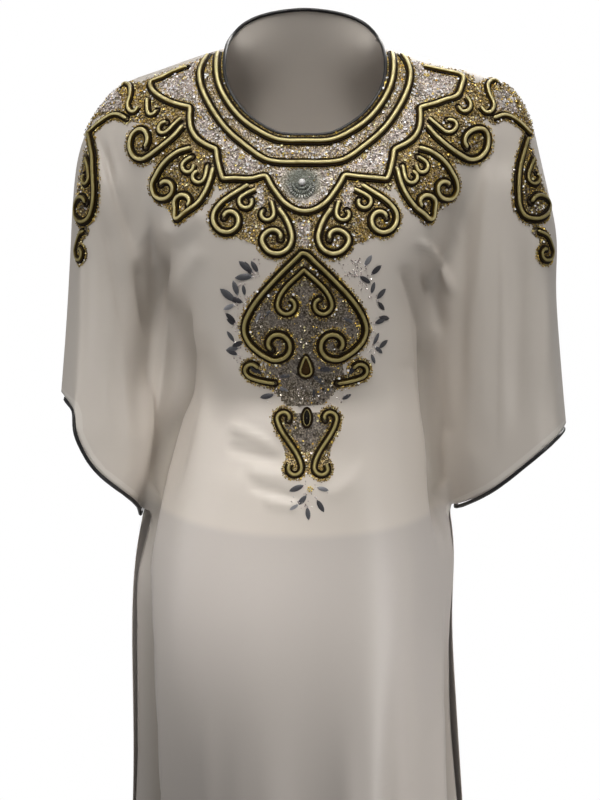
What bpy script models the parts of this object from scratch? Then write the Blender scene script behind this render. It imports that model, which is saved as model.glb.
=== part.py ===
"""A kaftan dress in its worn form: front and back cut in one with wide half sleeves, a
lining behind the chest, piping at neck and cuffs, and couched gold cords on the yoke.

Metres, +Z up. The front faces -Y and the garment's right sleeve is at -X.
The origin lies between the shoulder seams, where the garment is carried.
"""

import math

import bmesh
import bpy
import numpy as np
from mathutils import Vector
from mathutils.bvhtree import BVHTree
from mathutils.kdtree import KDTree

# Driving sizes
CLOTH = 0.0013
SEAM_HALF_GAP = 0.00016
SEAM_TURN = 0.0012
LINING_CLOTH = 0.0010
LAYER_GAP = 0.0005
HEM_Z = -1.42
LINING_HEM_DIP = 0.010
PIPING_RADIUS = 0.0012
PIPING_GAP = 0.0005
PIPING_MOST_SHIFT = 1.6
PIPING_TIP_SHIFT = 2.8
CORD_RADIUS = 0.0027
THIN_CORD_RADIUS = 0.0021
CORD_GAP = 0.0004
CORD_STEP = 0.0110
CORD_TURN = math.radians(42)
CORD_LIFTS = 3
NECK_CORD_INSET = 0.0055
NECK_CORD_TRIM = 3
NEARBY = 0.0060
PAD_THICKNESS = 0.0024
PAD_GAP = 0.0008
SHOULDER_ROUND = 0.075
SLEEVE_ROUND = 0.042
SIDE_ROUND = 0.050

# Mesh density
SLEEVE_COLUMNS = 8
CUFF_BEND_WEIGHT = 0.8
SHOULDER_COLUMNS = 4
NECK_COLUMNS = 12
CHEST_ROWS = 17
STRAP_ROWS = 5
SKIRT_ROWS = 11
CROWDING_AT_SHOULDER = 1.4
CROWDING_AT_UNDERARM = 1.25
CROWDING_AT_SEAMS = 0.6
PAD_POINTS = 14

# Looks, as colour, roughness and metallic value
GOLD = ((0.46, 0.39, 0.17, 1.0), 0.38, 0.75)
BLACK = ((0.02, 0.018, 0.016, 1.0), 0.6, 0.0)
IVORY = ((0.80, 0.76, 0.70, 1.0), 0.6, 0.0)
CREAM = ((0.86, 0.84, 0.80, 1.0), 0.7, 0.0)

# Seam lines as (breadth from the middle, height), each from the top down. top_seam runs
# from the neck along the shoulder and the sleeve to the cuff, and side runs from the
# underarm, where the cuff ends, to the hem. armhole is where the drape of the sleeve turns
# into that of the body, with no seam.
SIDES = {
    "right": {
        "sign": -1,
        "top_seam": [
            (0.0835, -0.0130), (0.1060, -0.0195), (0.1500, -0.0350), (0.1850, -0.0480),
            (0.2045, -0.0640), (0.2260, -0.0940), (0.2375, -0.1260), (0.2430, -0.1700),
            (0.2465, -0.2300), (0.2510, -0.3000), (0.2570, -0.3720),
        ],
        "armhole": [(0.1500, -0.0350), (0.1515, -0.2000), (0.1560, -0.4200), (0.1715, -0.5020)],
        "side": [
            (0.1715, -0.5020), (0.1760, -0.5280), (0.1830, -0.5600), (0.1840, -0.6400),
            (0.1830, -0.8000), (0.2250, HEM_Z),
        ],
        "cuff": [
            (0.2570, -0.3720), (0.2368, -0.3845), (0.2356, -0.4055), (0.2286, -0.4215),
            (0.2175, -0.4440), (0.1955, -0.4640), (0.1760, -0.4810), (0.1708, -0.4900),
            (0.1715, -0.5020),
        ],
    },
    "left": {
        "sign": 1,
        "top_seam": [
            (0.0835, -0.0130), (0.1080, -0.0190), (0.1500, -0.0295), (0.1920, -0.0410),
            (0.2180, -0.0580), (0.2380, -0.0920), (0.2460, -0.1250), (0.2570, -0.1700),
            (0.2650, -0.2100), (0.2640, -0.2600), (0.2690, -0.3300), (0.2760, -0.4050),
        ],
        "armhole": [(0.1500, -0.0295), (0.1490, -0.2000), (0.1480, -0.4200), (0.1530, -0.4930)],
        "side": [
            (0.1530, -0.4930), (0.1560, -0.5120), (0.1605, -0.5400), (0.1570, -0.5800),
            (0.1550, -0.6200), (0.1610, -0.6900), (0.1680, -0.8000), (0.2150, HEM_Z),
        ],
        "cuff": [
            (0.2760, -0.4050), (0.2620, -0.4120), (0.2390, -0.4300), (0.2000, -0.4625),
            (0.1735, -0.4810), (0.1530, -0.4930),
        ],
    },
}
FRONT_NECK = [
    (0.0835, -0.0130), (0.0850, -0.0340), (0.0805, -0.0570), (0.0620, -0.0845),
    (0.0410, -0.1000), (0.0250, -0.1070), (0.0, -0.1080),
]
BACK_NECK = [
    (0.0835, -0.0130), (0.0745, 0.0050), (0.0600, 0.0190), (0.0300, 0.0290), (0.0, 0.0320),
]
CORNER_ON_TOP_SEAM = 4
# The front neck falls steeply over this share of its half, beside the shoulder straps.
STEEP_NECK_SHARE = 0.46

# Each side of the garment over a general figure, by height: how far its middle stands off
# the seam plane, the half-breadths at which it turns back, how far the cloth beside that
# stands off, and how far the sleeve does.
FORM_COLUMNS = ("z", "middle", "right_turn", "left_turn", "beside", "sleeve")
FRONT_FORM = [
    (0.040, 0.045, 0.240, 0.240, 0.040, 0.040),
    (0.000, 0.060, 0.240, 0.240, 0.050, 0.050),
    (-0.050, 0.074, 0.235, 0.235, 0.056, 0.056),
    (-0.100, 0.090, 0.220, 0.220, 0.058, 0.062),
    (-0.150, 0.112, 0.190, 0.185, 0.052, 0.066),
    (-0.200, 0.130, 0.170, 0.155, 0.044, 0.068),
    (-0.260, 0.137, 0.146, 0.124, 0.036, 0.070),
    (-0.340, 0.130, 0.124, 0.118, 0.030, 0.074),
    (-0.430, 0.121, 0.134, 0.128, 0.028, 0.074),
    (-0.520, 0.122, 0.160, 0.140, 0.036, 0.060),
    (-0.620, 0.127, 0.176, 0.146, 0.050, 0.050),
    (-0.800, 0.132, 0.150, 0.148, 0.058, 0.050),
    (HEM_Z, 0.170, 0.150, 0.170, 0.100, 0.050),
]
BACK_FORM = [
    (0.040, 0.062, 0.240, 0.240, 0.040, 0.040),
    (0.000, 0.074, 0.240, 0.240, 0.050, 0.050),
    (-0.050, 0.088, 0.235, 0.235, 0.056, 0.054),
    (-0.100, 0.099, 0.215, 0.215, 0.058, 0.058),
    (-0.150, 0.106, 0.195, 0.195, 0.054, 0.060),
    (-0.200, 0.107, 0.180, 0.175, 0.048, 0.062),
    (-0.260, 0.103, 0.165, 0.155, 0.042, 0.064),
    (-0.340, 0.095, 0.152, 0.145, 0.040, 0.066),
    (-0.430, 0.092, 0.146, 0.138, 0.042, 0.068),
    (-0.520, 0.098, 0.152, 0.142, 0.048, 0.070),
    (-0.620, 0.112, 0.162, 0.148, 0.056, 0.070),
    (-0.800, 0.120, 0.160, 0.152, 0.062, 0.070),
    (HEM_Z, 0.160, 0.180, 0.175, 0.100, 0.070),
]
FLATNESS = 3.2
SLEEVE_FLATNESS = 2.5
BLEND_WIDTH = 0.012
# The sleeve stands off on its own between these heights, and reaches this far into the body.
SLEEVE_TOP_Z, SLEEVE_FULL_Z, SLEEVE_FOOT_Z = -0.06, -0.16, -0.51
SLEEVE_REACH = 0.006
# Seams at the shoulder are rounded wider, down to SHOULDER_FOOT_Z, and those of the sleeve
# start at this breadth.
SHOULDER_TOP_Z, SHOULDER_FOOT_Z = -0.06, -0.16
SLEEVE_FROM_X = 0.19

# The largest folds as (top x, top z, foot x, foot z, sideways bow, half-width, rise).
# A negative rise is a trough. A fold that ends above the hem grows over FOLD_GROWTH of its
# length and fades past FOLD_FADE, and one that reaches the hem grows over HEM_FOLD_GROWTH.
FOLD_GROWTH, FOLD_FADE, HEM_FOLD_GROWTH = 0.3, 0.65, 0.5
FOLD_COLUMNS = ("top_x", "top_z", "foot_x", "foot_z", "bow", "width", "rise")
FRONT_FOLDS = [
    (-0.200, -0.080, -0.166, -0.260, -0.006, 0.010, -0.0050),
    (-0.186, -0.100, -0.158, -0.300, 0.004, 0.012, 0.0050),
    (-0.225, -0.160, -0.236, -0.360, 0.004, 0.012, -0.0030),
    (-0.205, -0.250, -0.205, -0.440, 0.000, 0.016, 0.0040),
    (-0.128, -0.200, -0.160, -0.420, 0.010, 0.012, -0.0060),
    (0.120, -0.175, 0.158, -0.300, 0.006, 0.009, 0.0090),
    (0.112, -0.215, 0.130, -0.420, 0.006, 0.011, -0.0060),
    (0.185, -0.150, 0.182, -0.440, 0.002, 0.014, 0.0040),
    (0.208, -0.150, 0.204, -0.440, 0.002, 0.012, -0.0040),
    (0.232, -0.170, 0.232, -0.400, 0.002, 0.012, 0.0030),
    (-0.050, -0.540, -0.075, HEM_Z, 0.006, 0.030, 0.0130),
    (-0.100, -0.560, -0.128, HEM_Z, 0.004, 0.024, -0.0120),
    (0.000, -0.560, -0.010, HEM_Z, 0.004, 0.028, -0.0110),
    (0.078, -0.540, 0.070, HEM_Z, -0.006, 0.030, 0.0140),
    (0.118, -0.600, 0.140, HEM_Z, -0.004, 0.024, -0.0110),
]
BACK_FOLDS = [
    (-0.110, -0.140, -0.150, -0.400, 0.010, 0.013, -0.0060),
    (0.110, -0.140, 0.145, -0.400, -0.010, 0.013, -0.0060),
    (-0.195, -0.140, -0.195, -0.430, 0.003, 0.014, 0.0040),
    (0.200, -0.140, 0.195, -0.430, 0.003, 0.014, 0.0040),
    (-0.060, -0.420, -0.090, HEM_Z, 0.006, 0.028, 0.0140),
    (-0.015, -0.460, -0.025, HEM_Z, 0.004, 0.026, -0.0110),
    (0.045, -0.420, 0.055, HEM_Z, -0.006, 0.028, 0.0130),
    (0.105, -0.500, 0.125, HEM_Z, -0.004, 0.024, -0.0110),
    (-0.115, -0.520, -0.145, HEM_Z, 0.004, 0.022, -0.0110),
]

# The stepped cord that edges the yoke, as one half from the shoulder to the middle:
# corner place, and how far the stretch that ends there bows away from the neck.
STEP_COLUMNS = ("x", "z", "bow")
STEPPED_EDGE = [
    (0.1215, -0.0345, 0.000),
    (0.1480, -0.0405, 0.000),
    (0.1560, -0.0610, 0.010),
    (0.1160, -0.0786, 0.003),
    (0.0892, -0.1216, 0.011),
    (0.0818, -0.1518, 0.001),
    (0.0393, -0.1479, 0.000),
    (0.0000, -0.1841, 0.006),
]

# Each hooked cord leaves its start at a heading, in degrees from straight down towards
# the sleeve, and swells round into a curl. leave and arrive say how far it runs straight
# at each end, as shares of the way. The curl is entered at an angle (0 towards the sleeve,
# 90 up), makes these turns (below 0 clockwise, seen on the garment's left) and tightens to
# this share of its radius. point draws the curl's foot out to a tip.
HOOK_COLUMNS = (
    "name", "x", "z", "heading", "leave", "arrive",
    "centre_x", "centre_z", "radius", "entry", "turns", "tighten", "point", "thin",
)
SHOULDER_HOOKS = [
    ("breast_outer", 0.0578, -0.1585, 58, 0.45, 0.30, 0.0758, -0.1916, 0.0158, 20, -1.00, 0.33, 0, False),
    ("breast_inner", 0.0250, -0.1825, -42, 0.35, 0.35, 0.0300, -0.2110, 0.0175, 165, 1.05, 0.33, 0, False),
    ("breast_thin_outer", 0.0505, -0.1625, 55, 0.40, 0.30, 0.0583, -0.1741, 0.0072, 15, -0.62, 0.75, 0, True),
    ("breast_thin_inner", 0.0330, -0.1755, -15, 0.30, 0.30, 0.0379, -0.1861, 0.0070, 180, 0.62, 0.75, 0, True),
    ("chest_outer", 0.1160, -0.1201, 80, 0.40, 0.35, 0.1412, -0.1598, 0.0135, 25, -0.95, 0.42, 0, False),
    ("chest_inner", 0.0920, -0.1417, 10, 0.40, 0.30, 0.1216, -0.1748, 0.0105, 235, 0.95, 0.60, 0.0070, False),
    ("chest_thin_outer", 0.1130, -0.1285, 55, 0.40, 0.30, 0.1166, -0.1386, 0.0065, 20, -0.55, 0.80, 0, True),
    ("chest_thin_inner", 0.0975, -0.1375, 15, 0.30, 0.30, 0.1065, -0.1487, 0.0068, 205, 0.60, 0.75, 0, True),
    ("shoulder_lower", 0.1240, -0.0986, 38, 0.35, 0.35, 0.1700, -0.1135, 0.0175, 240, 0.95, 0.45, 0, False),
    ("shoulder_thin", 0.1262, -0.0905, 60, 0.35, 0.30, 0.1451, -0.0965, 0.0074, 250, 0.62, 0.75, 0, True),
    ("shoulder_curl", 0.1640, -0.0695, 25, 0.35, 0.30, 0.1590, -0.0785, 0.0066, 15, -0.55, 0.80, 0, True),
]
SLEEVE_HOOKS = [
    ("sleeve_outer", 0.2303, -0.1130, -25, 0.35, 0.35, 0.2310, -0.1770, 0.0155, 185, 0.90, 0.42, 0, False),
    ("sleeve_inner", 0.2345, -0.1290, -15, 0.35, 0.35, 0.2345, -0.1490, 0.0066, 190, 0.62, 0.75, 0, True),
    ("sleeve_tail", 0.2385, -0.2035, 85, 0.40, 0.35, 0.2470, -0.2255, 0.0092, 25, -0.85, 0.45, 0, True),
]
PENDANT_HOOKS = [
    ("pendant_leaf", 0.0319, -0.3563, 98, 0.30, 0.35, 0.0540, -0.3430, 0.0080, 295, 0.58, 0.80, 0, True),
]
# A curl's pointed tip lies this far past its entry, and spreads over this angle.
TIP_AT, TIP_WIDTH = math.radians(55), 0.42
# The pendant's two hearts are hooks that start together, at the middle.
HEARTS = [
    ("pendant_heart", 0.0, -0.2232, 47, 0.72, 0.45, 0.0284, -0.3162, 0.0163, -60, -0.95, 0.45, 0, False),
    ("pendant_inner_heart", 0.0, -0.2413, 44, 0.35, 0.35, 0.0175, -0.2763, 0.0095, 10, -0.72, 0.75, 0, True),
]
# An S cord has a curl at each end: its middle, radius, the angle where the cord leaves
# it and its turns, first at the top, then at the foot. Both tighten by S_TIGHTEN, and the
# stem between them runs straight for S_STEM of the way at each end.
S_TIGHTEN, S_STEM = 0.70, 0.35
S_COLUMNS = ("name", "x", "z", "radius", "leave", "turns", "foot_x", "foot_z", "foot_radius",
             "foot_leave", "foot_turns")
S_CORDS = [
    ("shoulder_hook", 0.1880, -0.0610, 0.0060, 215, -0.42, 0.1850, -0.0755, 0.0055, 35, -0.48),
    ("tail_scroll", 0.0229, -0.3890, 0.0072, -20, 0.62, 0.0140, -0.4403, 0.0078, 165, 0.62),
]
SCALLOP = [(0.1975, -0.0905), (0.2060, -0.0885), (0.2150, -0.0930), (0.2240, -0.1010)]
COLLAR = [
    (0.1000, -0.0225), (0.1060, -0.0330), (0.1070, -0.0480), (0.1010, -0.0670),
    (0.0810, -0.0985), (0.0610, -0.1170), (0.0380, -0.1325), (0.0190, -0.1350), (0.0, -0.1350),
]
# Padded shapes as (name, height of the middle, breadth, length, pull towards the tip).
PAD_COLUMNS = ("name", "z", "breadth", "length", "pull")
PADS = [
    ("pendant_drop", -0.3390, 0.0125, 0.0240, 0.55),
    ("tail_oval", -0.3885, 0.0085, 0.0180, 0.0),
]
# The sleeves hang unevenly, so on the garment's right what lies beyond this breadth is
# drawn in to this share.
SHOULDER_DRAW = (0.150, 0.83)
SLEEVE_DRAW = (0.212, 0.55)
# The pendant's middle drifts sideways on its way down.
DRIFT_TOP, DRIFT_SLOPE = (-0.0015, -0.22), -0.020


def as_array(points):
    return np.asarray(points, float)


def smooth_line(points, spacing=0.003):
    """A dense line through the points, on a centripetal Catmull-Rom curve."""
    p = as_array(points)
    p = np.vstack([2 * p[0] - p[1], p, 2 * p[-1] - p[-2]])
    knots = np.concatenate([[0], np.cumsum(np.linalg.norm(np.diff(p, axis=0), axis=1) ** 0.5)])
    pieces = []
    for i in range(1, len(p) - 2):
        t0, t1, t2, t3 = knots[i - 1 : i + 3]
        count = max(2, int(np.linalg.norm(p[i + 1] - p[i]) / spacing) + 1)
        t = np.linspace(t1, t2, count, endpoint=False)[:, None]
        a1 = (t1 - t) / (t1 - t0) * p[i - 1] + (t - t0) / (t1 - t0) * p[i]
        a2 = (t2 - t) / (t2 - t1) * p[i] + (t - t1) / (t2 - t1) * p[i + 1]
        a3 = (t3 - t) / (t3 - t2) * p[i + 1] + (t - t2) / (t3 - t2) * p[i + 2]
        b1 = (t2 - t) / (t2 - t0) * a1 + (t - t0) / (t2 - t0) * a2
        b2 = (t3 - t) / (t3 - t1) * a2 + (t - t1) / (t3 - t1) * a3
        pieces.append((t2 - t) / (t2 - t1) * b1 + (t - t1) / (t2 - t1) * b2)
    return np.vstack([*pieces, p[-2]])


def along(line, shares):
    """Points on a dense line at these shares of its length."""
    length = np.concatenate([[0], np.cumsum(np.linalg.norm(np.diff(line, axis=0), axis=1))])
    at = np.asarray(shares, float) * length[-1]
    return np.stack([np.interp(at, length, line[:, k]) for k in range(line.shape[1])], axis=-1)


def eased(value):
    value = np.clip(value, 0, 1)
    return value * value * (3 - 2 * value)


def read(form, column, z):
    """A form's column at these heights, with no corners between its rows."""
    rows = as_array(form)[::-1]
    heights, values = rows[:, 0], rows[:, FORM_COLUMNS.index(column)]
    slope = np.gradient(values, heights)
    i = np.clip(np.searchsorted(heights, z) - 1, 0, len(heights) - 2)
    span = heights[i + 1] - heights[i]
    t = np.clip((z - heights[i]) / span, 0, 1)
    return (
        (1 + 2 * t) * (1 - t) ** 2 * values[i]
        + t * (1 - t) ** 2 * span * slope[i]
        + t * t * (3 - 2 * t) * values[i + 1]
        + t * t * (t - 1) * span * slope[i + 1]
    )


def seam_lines():
    """Each side's seams as dense (x, z) lines, with x signed."""
    lines = {}
    for side, cut in SIDES.items():
        mirror = np.array([cut["sign"], 1.0])
        lines[side] = {
            name: smooth_line(cut[name]) * mirror
            for name in ("top_seam", "armhole", "side", "cuff")
        }
    return lines


LINES = seam_lines()
CLOSED_SEAMS = [LINES[side][name] for side in LINES for name in ("top_seam", "side")]


def seam_distance(points):
    """How far each (x, z) point lies from the seams that join front and back."""
    starts = np.vstack([line[:-1] for line in CLOSED_SEAMS])
    steps = np.vstack([np.diff(line, axis=0) for line in CLOSED_SEAMS])
    squared = (steps**2).sum(axis=1)
    nearest = np.full(len(points), np.inf)
    for first in range(0, len(points), 2000):
        part = points[first : first + 2000, None, :]
        share = np.clip(((part - starts) * steps).sum(axis=2) / squared, 0, 1)
        gap = np.linalg.norm(part - starts - share[..., None] * steps, axis=2)
        nearest[first : first + 2000] = gap.min(axis=1)
    return nearest


def rounded(share):
    """A quarter circle: 0 at the seam, where it rises steeply, and 1 past the rounding."""
    share = np.clip(share, 0, 1)
    return np.sqrt(1 - (1 - share) ** 2)


def larger(a, b, width=BLEND_WIDTH):
    """The larger of two heights, with a soft hollow where they cross."""
    h = np.clip(0.5 + 0.5 * (a - b) / width, 0, 1)
    return b + (a - b) * h + width * h * (1 - h)


def fold_rise(points, folds):
    """How much the folds lift each (x, z) point."""
    total = np.zeros(len(points))
    for row in folds:
        fold = dict(zip(FOLD_COLUMNS, row))
        drop = (fold["top_z"] - points[:, 1]) / (fold["top_z"] - fold["foot_z"])
        share = np.clip(drop, 0, 1)
        middle = fold["top_x"] + (fold["foot_x"] - fold["top_x"]) * share
        middle = middle + fold["bow"] * np.sin(math.pi * share)
        if fold["foot_z"] <= HEM_Z:
            fade = eased(drop / HEM_FOLD_GROWTH)
        else:
            fade = eased(drop / FOLD_GROWTH) * (1 - eased((drop - FOLD_FADE) / (1 - FOLD_FADE)))
        total += fold["rise"] * fade * np.exp(-(((points[:, 0] - middle) / fold["width"]) ** 2))
    return total


def sleeve_middle(z):
    """The breadth of the sleeve's middle and its inner half-width, by height, on each side."""
    found = {}
    for side, cut in SIDES.items():
        outer, inner = as_array(cut["top_seam"]), as_array(cut["armhole"])
        out_x = np.interp(-z, -outer[CORNER_ON_TOP_SEAM:, 1], outer[CORNER_ON_TOP_SEAM:, 0])
        in_x = np.interp(-z, -inner[:, 1], inner[:, 0])
        found[side] = ((out_x + in_x) / 2, (out_x - in_x) / 2 + SLEEVE_REACH)
    return found


def stand_off(points, form, folds):
    """How far the cloth stands off the seam plane at each (x, z) point."""
    x, z = points[:, 0], points[:, 1]
    breadth = np.abs(x)
    turn = np.where(x < 0, read(form, "right_turn", z), read(form, "left_turn", z))
    body = read(form, "middle", z) * np.sqrt(np.clip(1 - (breadth / turn) ** FLATNESS, 0, 1))
    body = larger(body, read(form, "beside", z))
    middles = sleeve_middle(z)
    middle = np.where(x < 0, middles["right"][0], middles["left"][0])
    half = np.where(x < 0, middles["right"][1], middles["left"][1])
    inward = np.clip((middle - breadth) / half, 0, 1)
    on_sleeve = (breadth > middle - half) * eased((SLEEVE_TOP_Z - z) / (SLEEVE_TOP_Z - SLEEVE_FULL_Z))
    on_sleeve = on_sleeve * np.where(z < SLEEVE_FOOT_Z, 0.0, 1.0)
    sleeve = read(form, "sleeve", z) * np.sqrt(np.clip(1 - inward**SLEEVE_FLATNESS, 0, 1)) * on_sleeve
    height = larger(body, sleeve) + fold_rise(points, folds)
    near_top = eased((z - SHOULDER_FOOT_Z) / (SHOULDER_TOP_Z - SHOULDER_FOOT_Z))
    low_round = np.where(breadth > SLEEVE_FROM_X, SLEEVE_ROUND, SIDE_ROUND)
    width = low_round + (SHOULDER_ROUND - low_round) * near_top
    return height * rounded(seam_distance(points) / width)


def patch(left, right, top, bottom, across, down):
    """(x, z) points of a four-sided piece, rows by columns, from its edge points."""
    u, v = across[None, :, None], down[:, None, None]
    sides = (1 - u) * left[:, None, :] + u * right[:, None, :]
    ends = (1 - v) * top[None, :, :] + v * bottom[None, :, :]
    corners = (1 - u) * (1 - v) * top[0] + u * (1 - v) * top[-1]
    corners = corners + (1 - u) * v * bottom[0] + u * v * bottom[-1]
    return sides + ends - corners


def crowded_ends(count, amount):
    """Shares from 0 to 1 that lie closer together at both ends."""
    even = np.linspace(0, 1, count + 1)
    return (1 - amount) * even + amount * (1 - np.cos(math.pi * even)) / 2


def bend_shares(line, count):
    """Shares of a line's length that lie closer together where it bends."""
    chords = np.diff(line, axis=0)
    lengths = np.linalg.norm(chords, axis=1)
    heading = np.unwrap(np.arctan2(chords[:, 1], chords[:, 0]))
    bends = np.concatenate([[0], np.abs(np.diff(heading))])
    effort = lengths / lengths.sum() + CUFF_BEND_WEIGHT * bends / bends.sum()
    reached = np.concatenate([[0], np.cumsum(effort)])
    share = np.concatenate([[0], np.cumsum(lengths)]) / lengths.sum()
    return np.interp(np.linspace(0, reached[-1], count + 1), reached, share)


def down_shares():
    """Rows from the shoulder to the underarm, closer together near the top."""
    return np.linspace(0, 1, CHEST_ROWS + 1) ** CROWDING_AT_SHOULDER


def top_split(side):
    """Where the top seam is split: at the armhole, and at the shoulder's corner."""
    lines, sign = LINES[side], SIDES[side]["sign"]
    corner = as_array(SIDES[side]["top_seam"][CORNER_ON_TOP_SEAM]) * [sign, 1]
    places = lines["armhole"][0], corner
    return [int(np.argmin(np.linalg.norm(lines["top_seam"] - p, axis=1))) for p in places]


def sleeve_points(side):
    """The sleeve's (x, z) points from the top seam to the armhole, shoulder to cuff."""
    lines = LINES[side]
    hole, corner = top_split(side)
    across, down = crowded_ends(SLEEVE_COLUMNS, CROWDING_AT_SEAMS), down_shares()
    outer, inner = along(lines["top_seam"][corner:], down), along(lines["armhole"], down)
    top = along(lines["top_seam"][hole : corner + 1][::-1], across)
    cuff = along(lines["cuff"], bend_shares(lines["cuff"], SLEEVE_COLUMNS))
    return patch(outer, inner, top, cuff, across, down)


def shoulder_points(side):
    """(x, z) points of the shoulder seam, from the armhole to the neck."""
    shoulder = LINES[side]["top_seam"][: top_split(side)[0] + 1][::-1]
    return along(shoulder, np.linspace(0, 1, SHOULDER_COLUMNS + 1))


def strap_points(side, neck_side, rows):
    """The (x, z) points between armhole and neck, from the shoulder to the neck's corner."""
    outer = along(LINES[side]["armhole"], rows)
    across = np.linspace(0, 1, SHOULDER_COLUMNS + 1)
    foot = outer[-1] + across[:, None] * (neck_side[-1] - outer[-1])
    return patch(outer, neck_side, shoulder_points(side), foot, across, rows / rows[-1])


def chest_points(tops, rows):
    """The body's (x, z) points between the armholes, down to the line where the lining ends."""
    top = np.vstack([tops["right"], tops["left"][::-1][1:]])
    across, down = np.linspace(0, 1, len(top)), (rows - rows[0]) / (1 - rows[0])
    right_edge, left_edge = (along(LINES[side]["armhole"], rows) for side in ("right", "left"))
    bottom = (1 - across[:, None]) * right_edge[-1] + across[:, None] * left_edge[-1]
    bottom[:, 1] -= LINING_HEM_DIP * np.sin(math.pi * across)
    return patch(right_edge, left_edge, top, bottom, across, down)


def body_points(neck, steep_share):
    """The body's grids above the underarm, and (x, z) points along the neck edge and inside it.

    Where the neck falls steeply beside the shoulders, strap grids flank it.
    """
    line, rows, half = smooth_line(neck), down_shares(), NECK_COLUMNS // 2
    level = along(line, np.linspace(steep_share, 1, half + 1))
    grids, tops, strap_rows = {}, {}, STRAP_ROWS if steep_share else 0
    for side in LINES:
        mirror = [SIDES[side]["sign"], 1]
        tops[side] = shoulder_points(side)
        if steep_share:
            steep = along(line, np.linspace(0, steep_share, STRAP_ROWS + 1)) * mirror
            grids[f"{side}_strap"] = strap_points(side, steep, rows[: STRAP_ROWS + 1])
            tops[side] = grids[f"{side}_strap"][-1]
        tops[side] = np.vstack([tops[side], (level * mirror)[1:]])
    grids["chest"] = chest_points(tops, rows[strap_rows:])
    return grids


def neck_edge(grids):
    """Points along the neck edge from right to left, and those next to them in the cloth."""
    level = slice(SHOULDER_COLUMNS, SHOULDER_COLUMNS + NECK_COLUMNS + 1)
    edge, inside = grids["chest"][0, level], grids["chest"][1, level]
    if "right_strap" not in grids:
        return edge, inside
    right, left = grids["right_strap"], grids["left_strap"]
    return (
        np.vstack([right[:-1, -1], edge, left[-2::-1, 0]]),
        np.vstack([right[:-1, -2], inside, left[-2::-1, 1]]),
    )


def skirt_points(chest):
    """The body's (x, z) points from the underarm to the hem."""
    across = np.linspace(0, 1, chest.shape[1])
    down = np.linspace(0, 1, SKIRT_ROWS + 1) ** CROWDING_AT_UNDERARM
    right_edge, left_edge = (along(LINES[side]["side"], down) for side in ("right", "left"))
    spread = crowded_ends(chest.shape[1] - 1, CROWDING_AT_SEAMS)
    hem = (1 - spread[:, None]) * right_edge[-1] + spread[:, None] * left_edge[-1]
    return patch(right_edge, left_edge, chest[-1], hem, across, down)


def lift(grid, form, folds, facing):
    """(x, z) points as points in space, on the front (facing -1) or the back (1)."""
    flat = grid.reshape(-1, 2)
    off = stand_off(flat, form, folds) + SEAM_HALF_GAP + SEAM_TURN
    return np.stack([flat[:, 0], facing * off, flat[:, 1]], axis=1).reshape(*grid.shape[:2], 3)


def panel_grids(neck, steep_share, form, folds, facing):
    """The grids of one side of the garment: sleeves, shoulder straps, chest and skirt."""
    flat = body_points(neck, steep_share)
    flat["skirt"] = skirt_points(flat["chest"])
    flat["right_sleeve"], flat["left_sleeve"] = sleeve_points("right"), sleeve_points("left")
    for name in ("left_sleeve", "left_strap"):
        if name in flat:
            flat[name] = flat[name][:, ::-1]
    return {name: lift(grid, form, folds, facing) for name, grid in flat.items()}


def mesh_of(name, grids, facing, turned_seams=False):
    """One mesh from grids that share their edges, its faces pointing outwards."""
    build = bmesh.new()
    for grid in grids:
        rows, columns = grid.shape[:2]
        verts = [[build.verts.new(grid[r, c]) for c in range(columns)] for r in range(rows)]
        for r in range(rows - 1):
            for c in range(columns - 1):
                ring = [verts[r][c], verts[r + 1][c], verts[r + 1][c + 1], verts[r][c + 1]]
                build.faces.new(ring if facing < 0 else ring[::-1])
    bmesh.ops.remove_doubles(build, verts=build.verts, dist=1e-5)
    if turned_seams:
        turn_seams(build, facing)
    bmesh.ops.triangulate(build, faces=build.faces)
    mesh = bpy.data.meshes.new(name)
    build.to_mesh(mesh)
    build.free()
    mesh.shade_smooth()
    return mesh


def turn_seams(build, facing):
    """Turns the seam edges straight in, so that front and back meet on flat rims."""
    reach = SEAM_HALF_GAP + SEAM_TURN + 1e-6
    seam = [e for e in build.edges if e.is_boundary and all(abs(v.co.y) < reach for v in e.verts)]
    made = bmesh.ops.extrude_edge_only(build, edges=seam)["geom"]
    for vert in made:
        if isinstance(vert, bmesh.types.BMVert):
            vert.co.y = facing * SEAM_HALF_GAP


def material(name, look):
    made = bpy.data.materials.new(name)
    made.use_nodes = True
    shader = made.node_tree.nodes["Principled BSDF"]
    colour, roughness, metallic = look
    shader.inputs["Base Color"].default_value = colour
    shader.inputs["Roughness"].default_value = roughness
    shader.inputs["Metallic"].default_value = metallic
    made.diffuse_color = colour
    return made


def add_object(name, data, look, collection):
    made = bpy.data.objects.new(name, data)
    collection.objects.link(made)
    made.data.materials.append(look)
    return made


def add_wall(name, mesh, thickness, look, collection):
    """A cloth panel: its outer surface, thickened inwards."""
    made = add_object(name, mesh, look, collection)
    solid = made.modifiers.new("cloth", "SOLIDIFY")
    solid.thickness = thickness
    solid.offset = -1
    return made


def add_tube(name, points, radius, look, collection, closed=False, sides=6):
    """A cord or piping along these points."""
    curve = bpy.data.curves.new(name, "CURVE")
    curve.dimensions = "3D"
    curve.bevel_depth = radius
    curve.bevel_resolution = (sides - 4) // 2
    curve.use_fill_caps = not closed
    spline = curve.splines.new("POLY")
    spline.points.add(len(points) - 1)
    for point, place in zip(spline.points, points):
        point.co = (*place, 1)
    spline.use_cyclic_u = closed
    return add_object(name, curve, look, collection)


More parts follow.
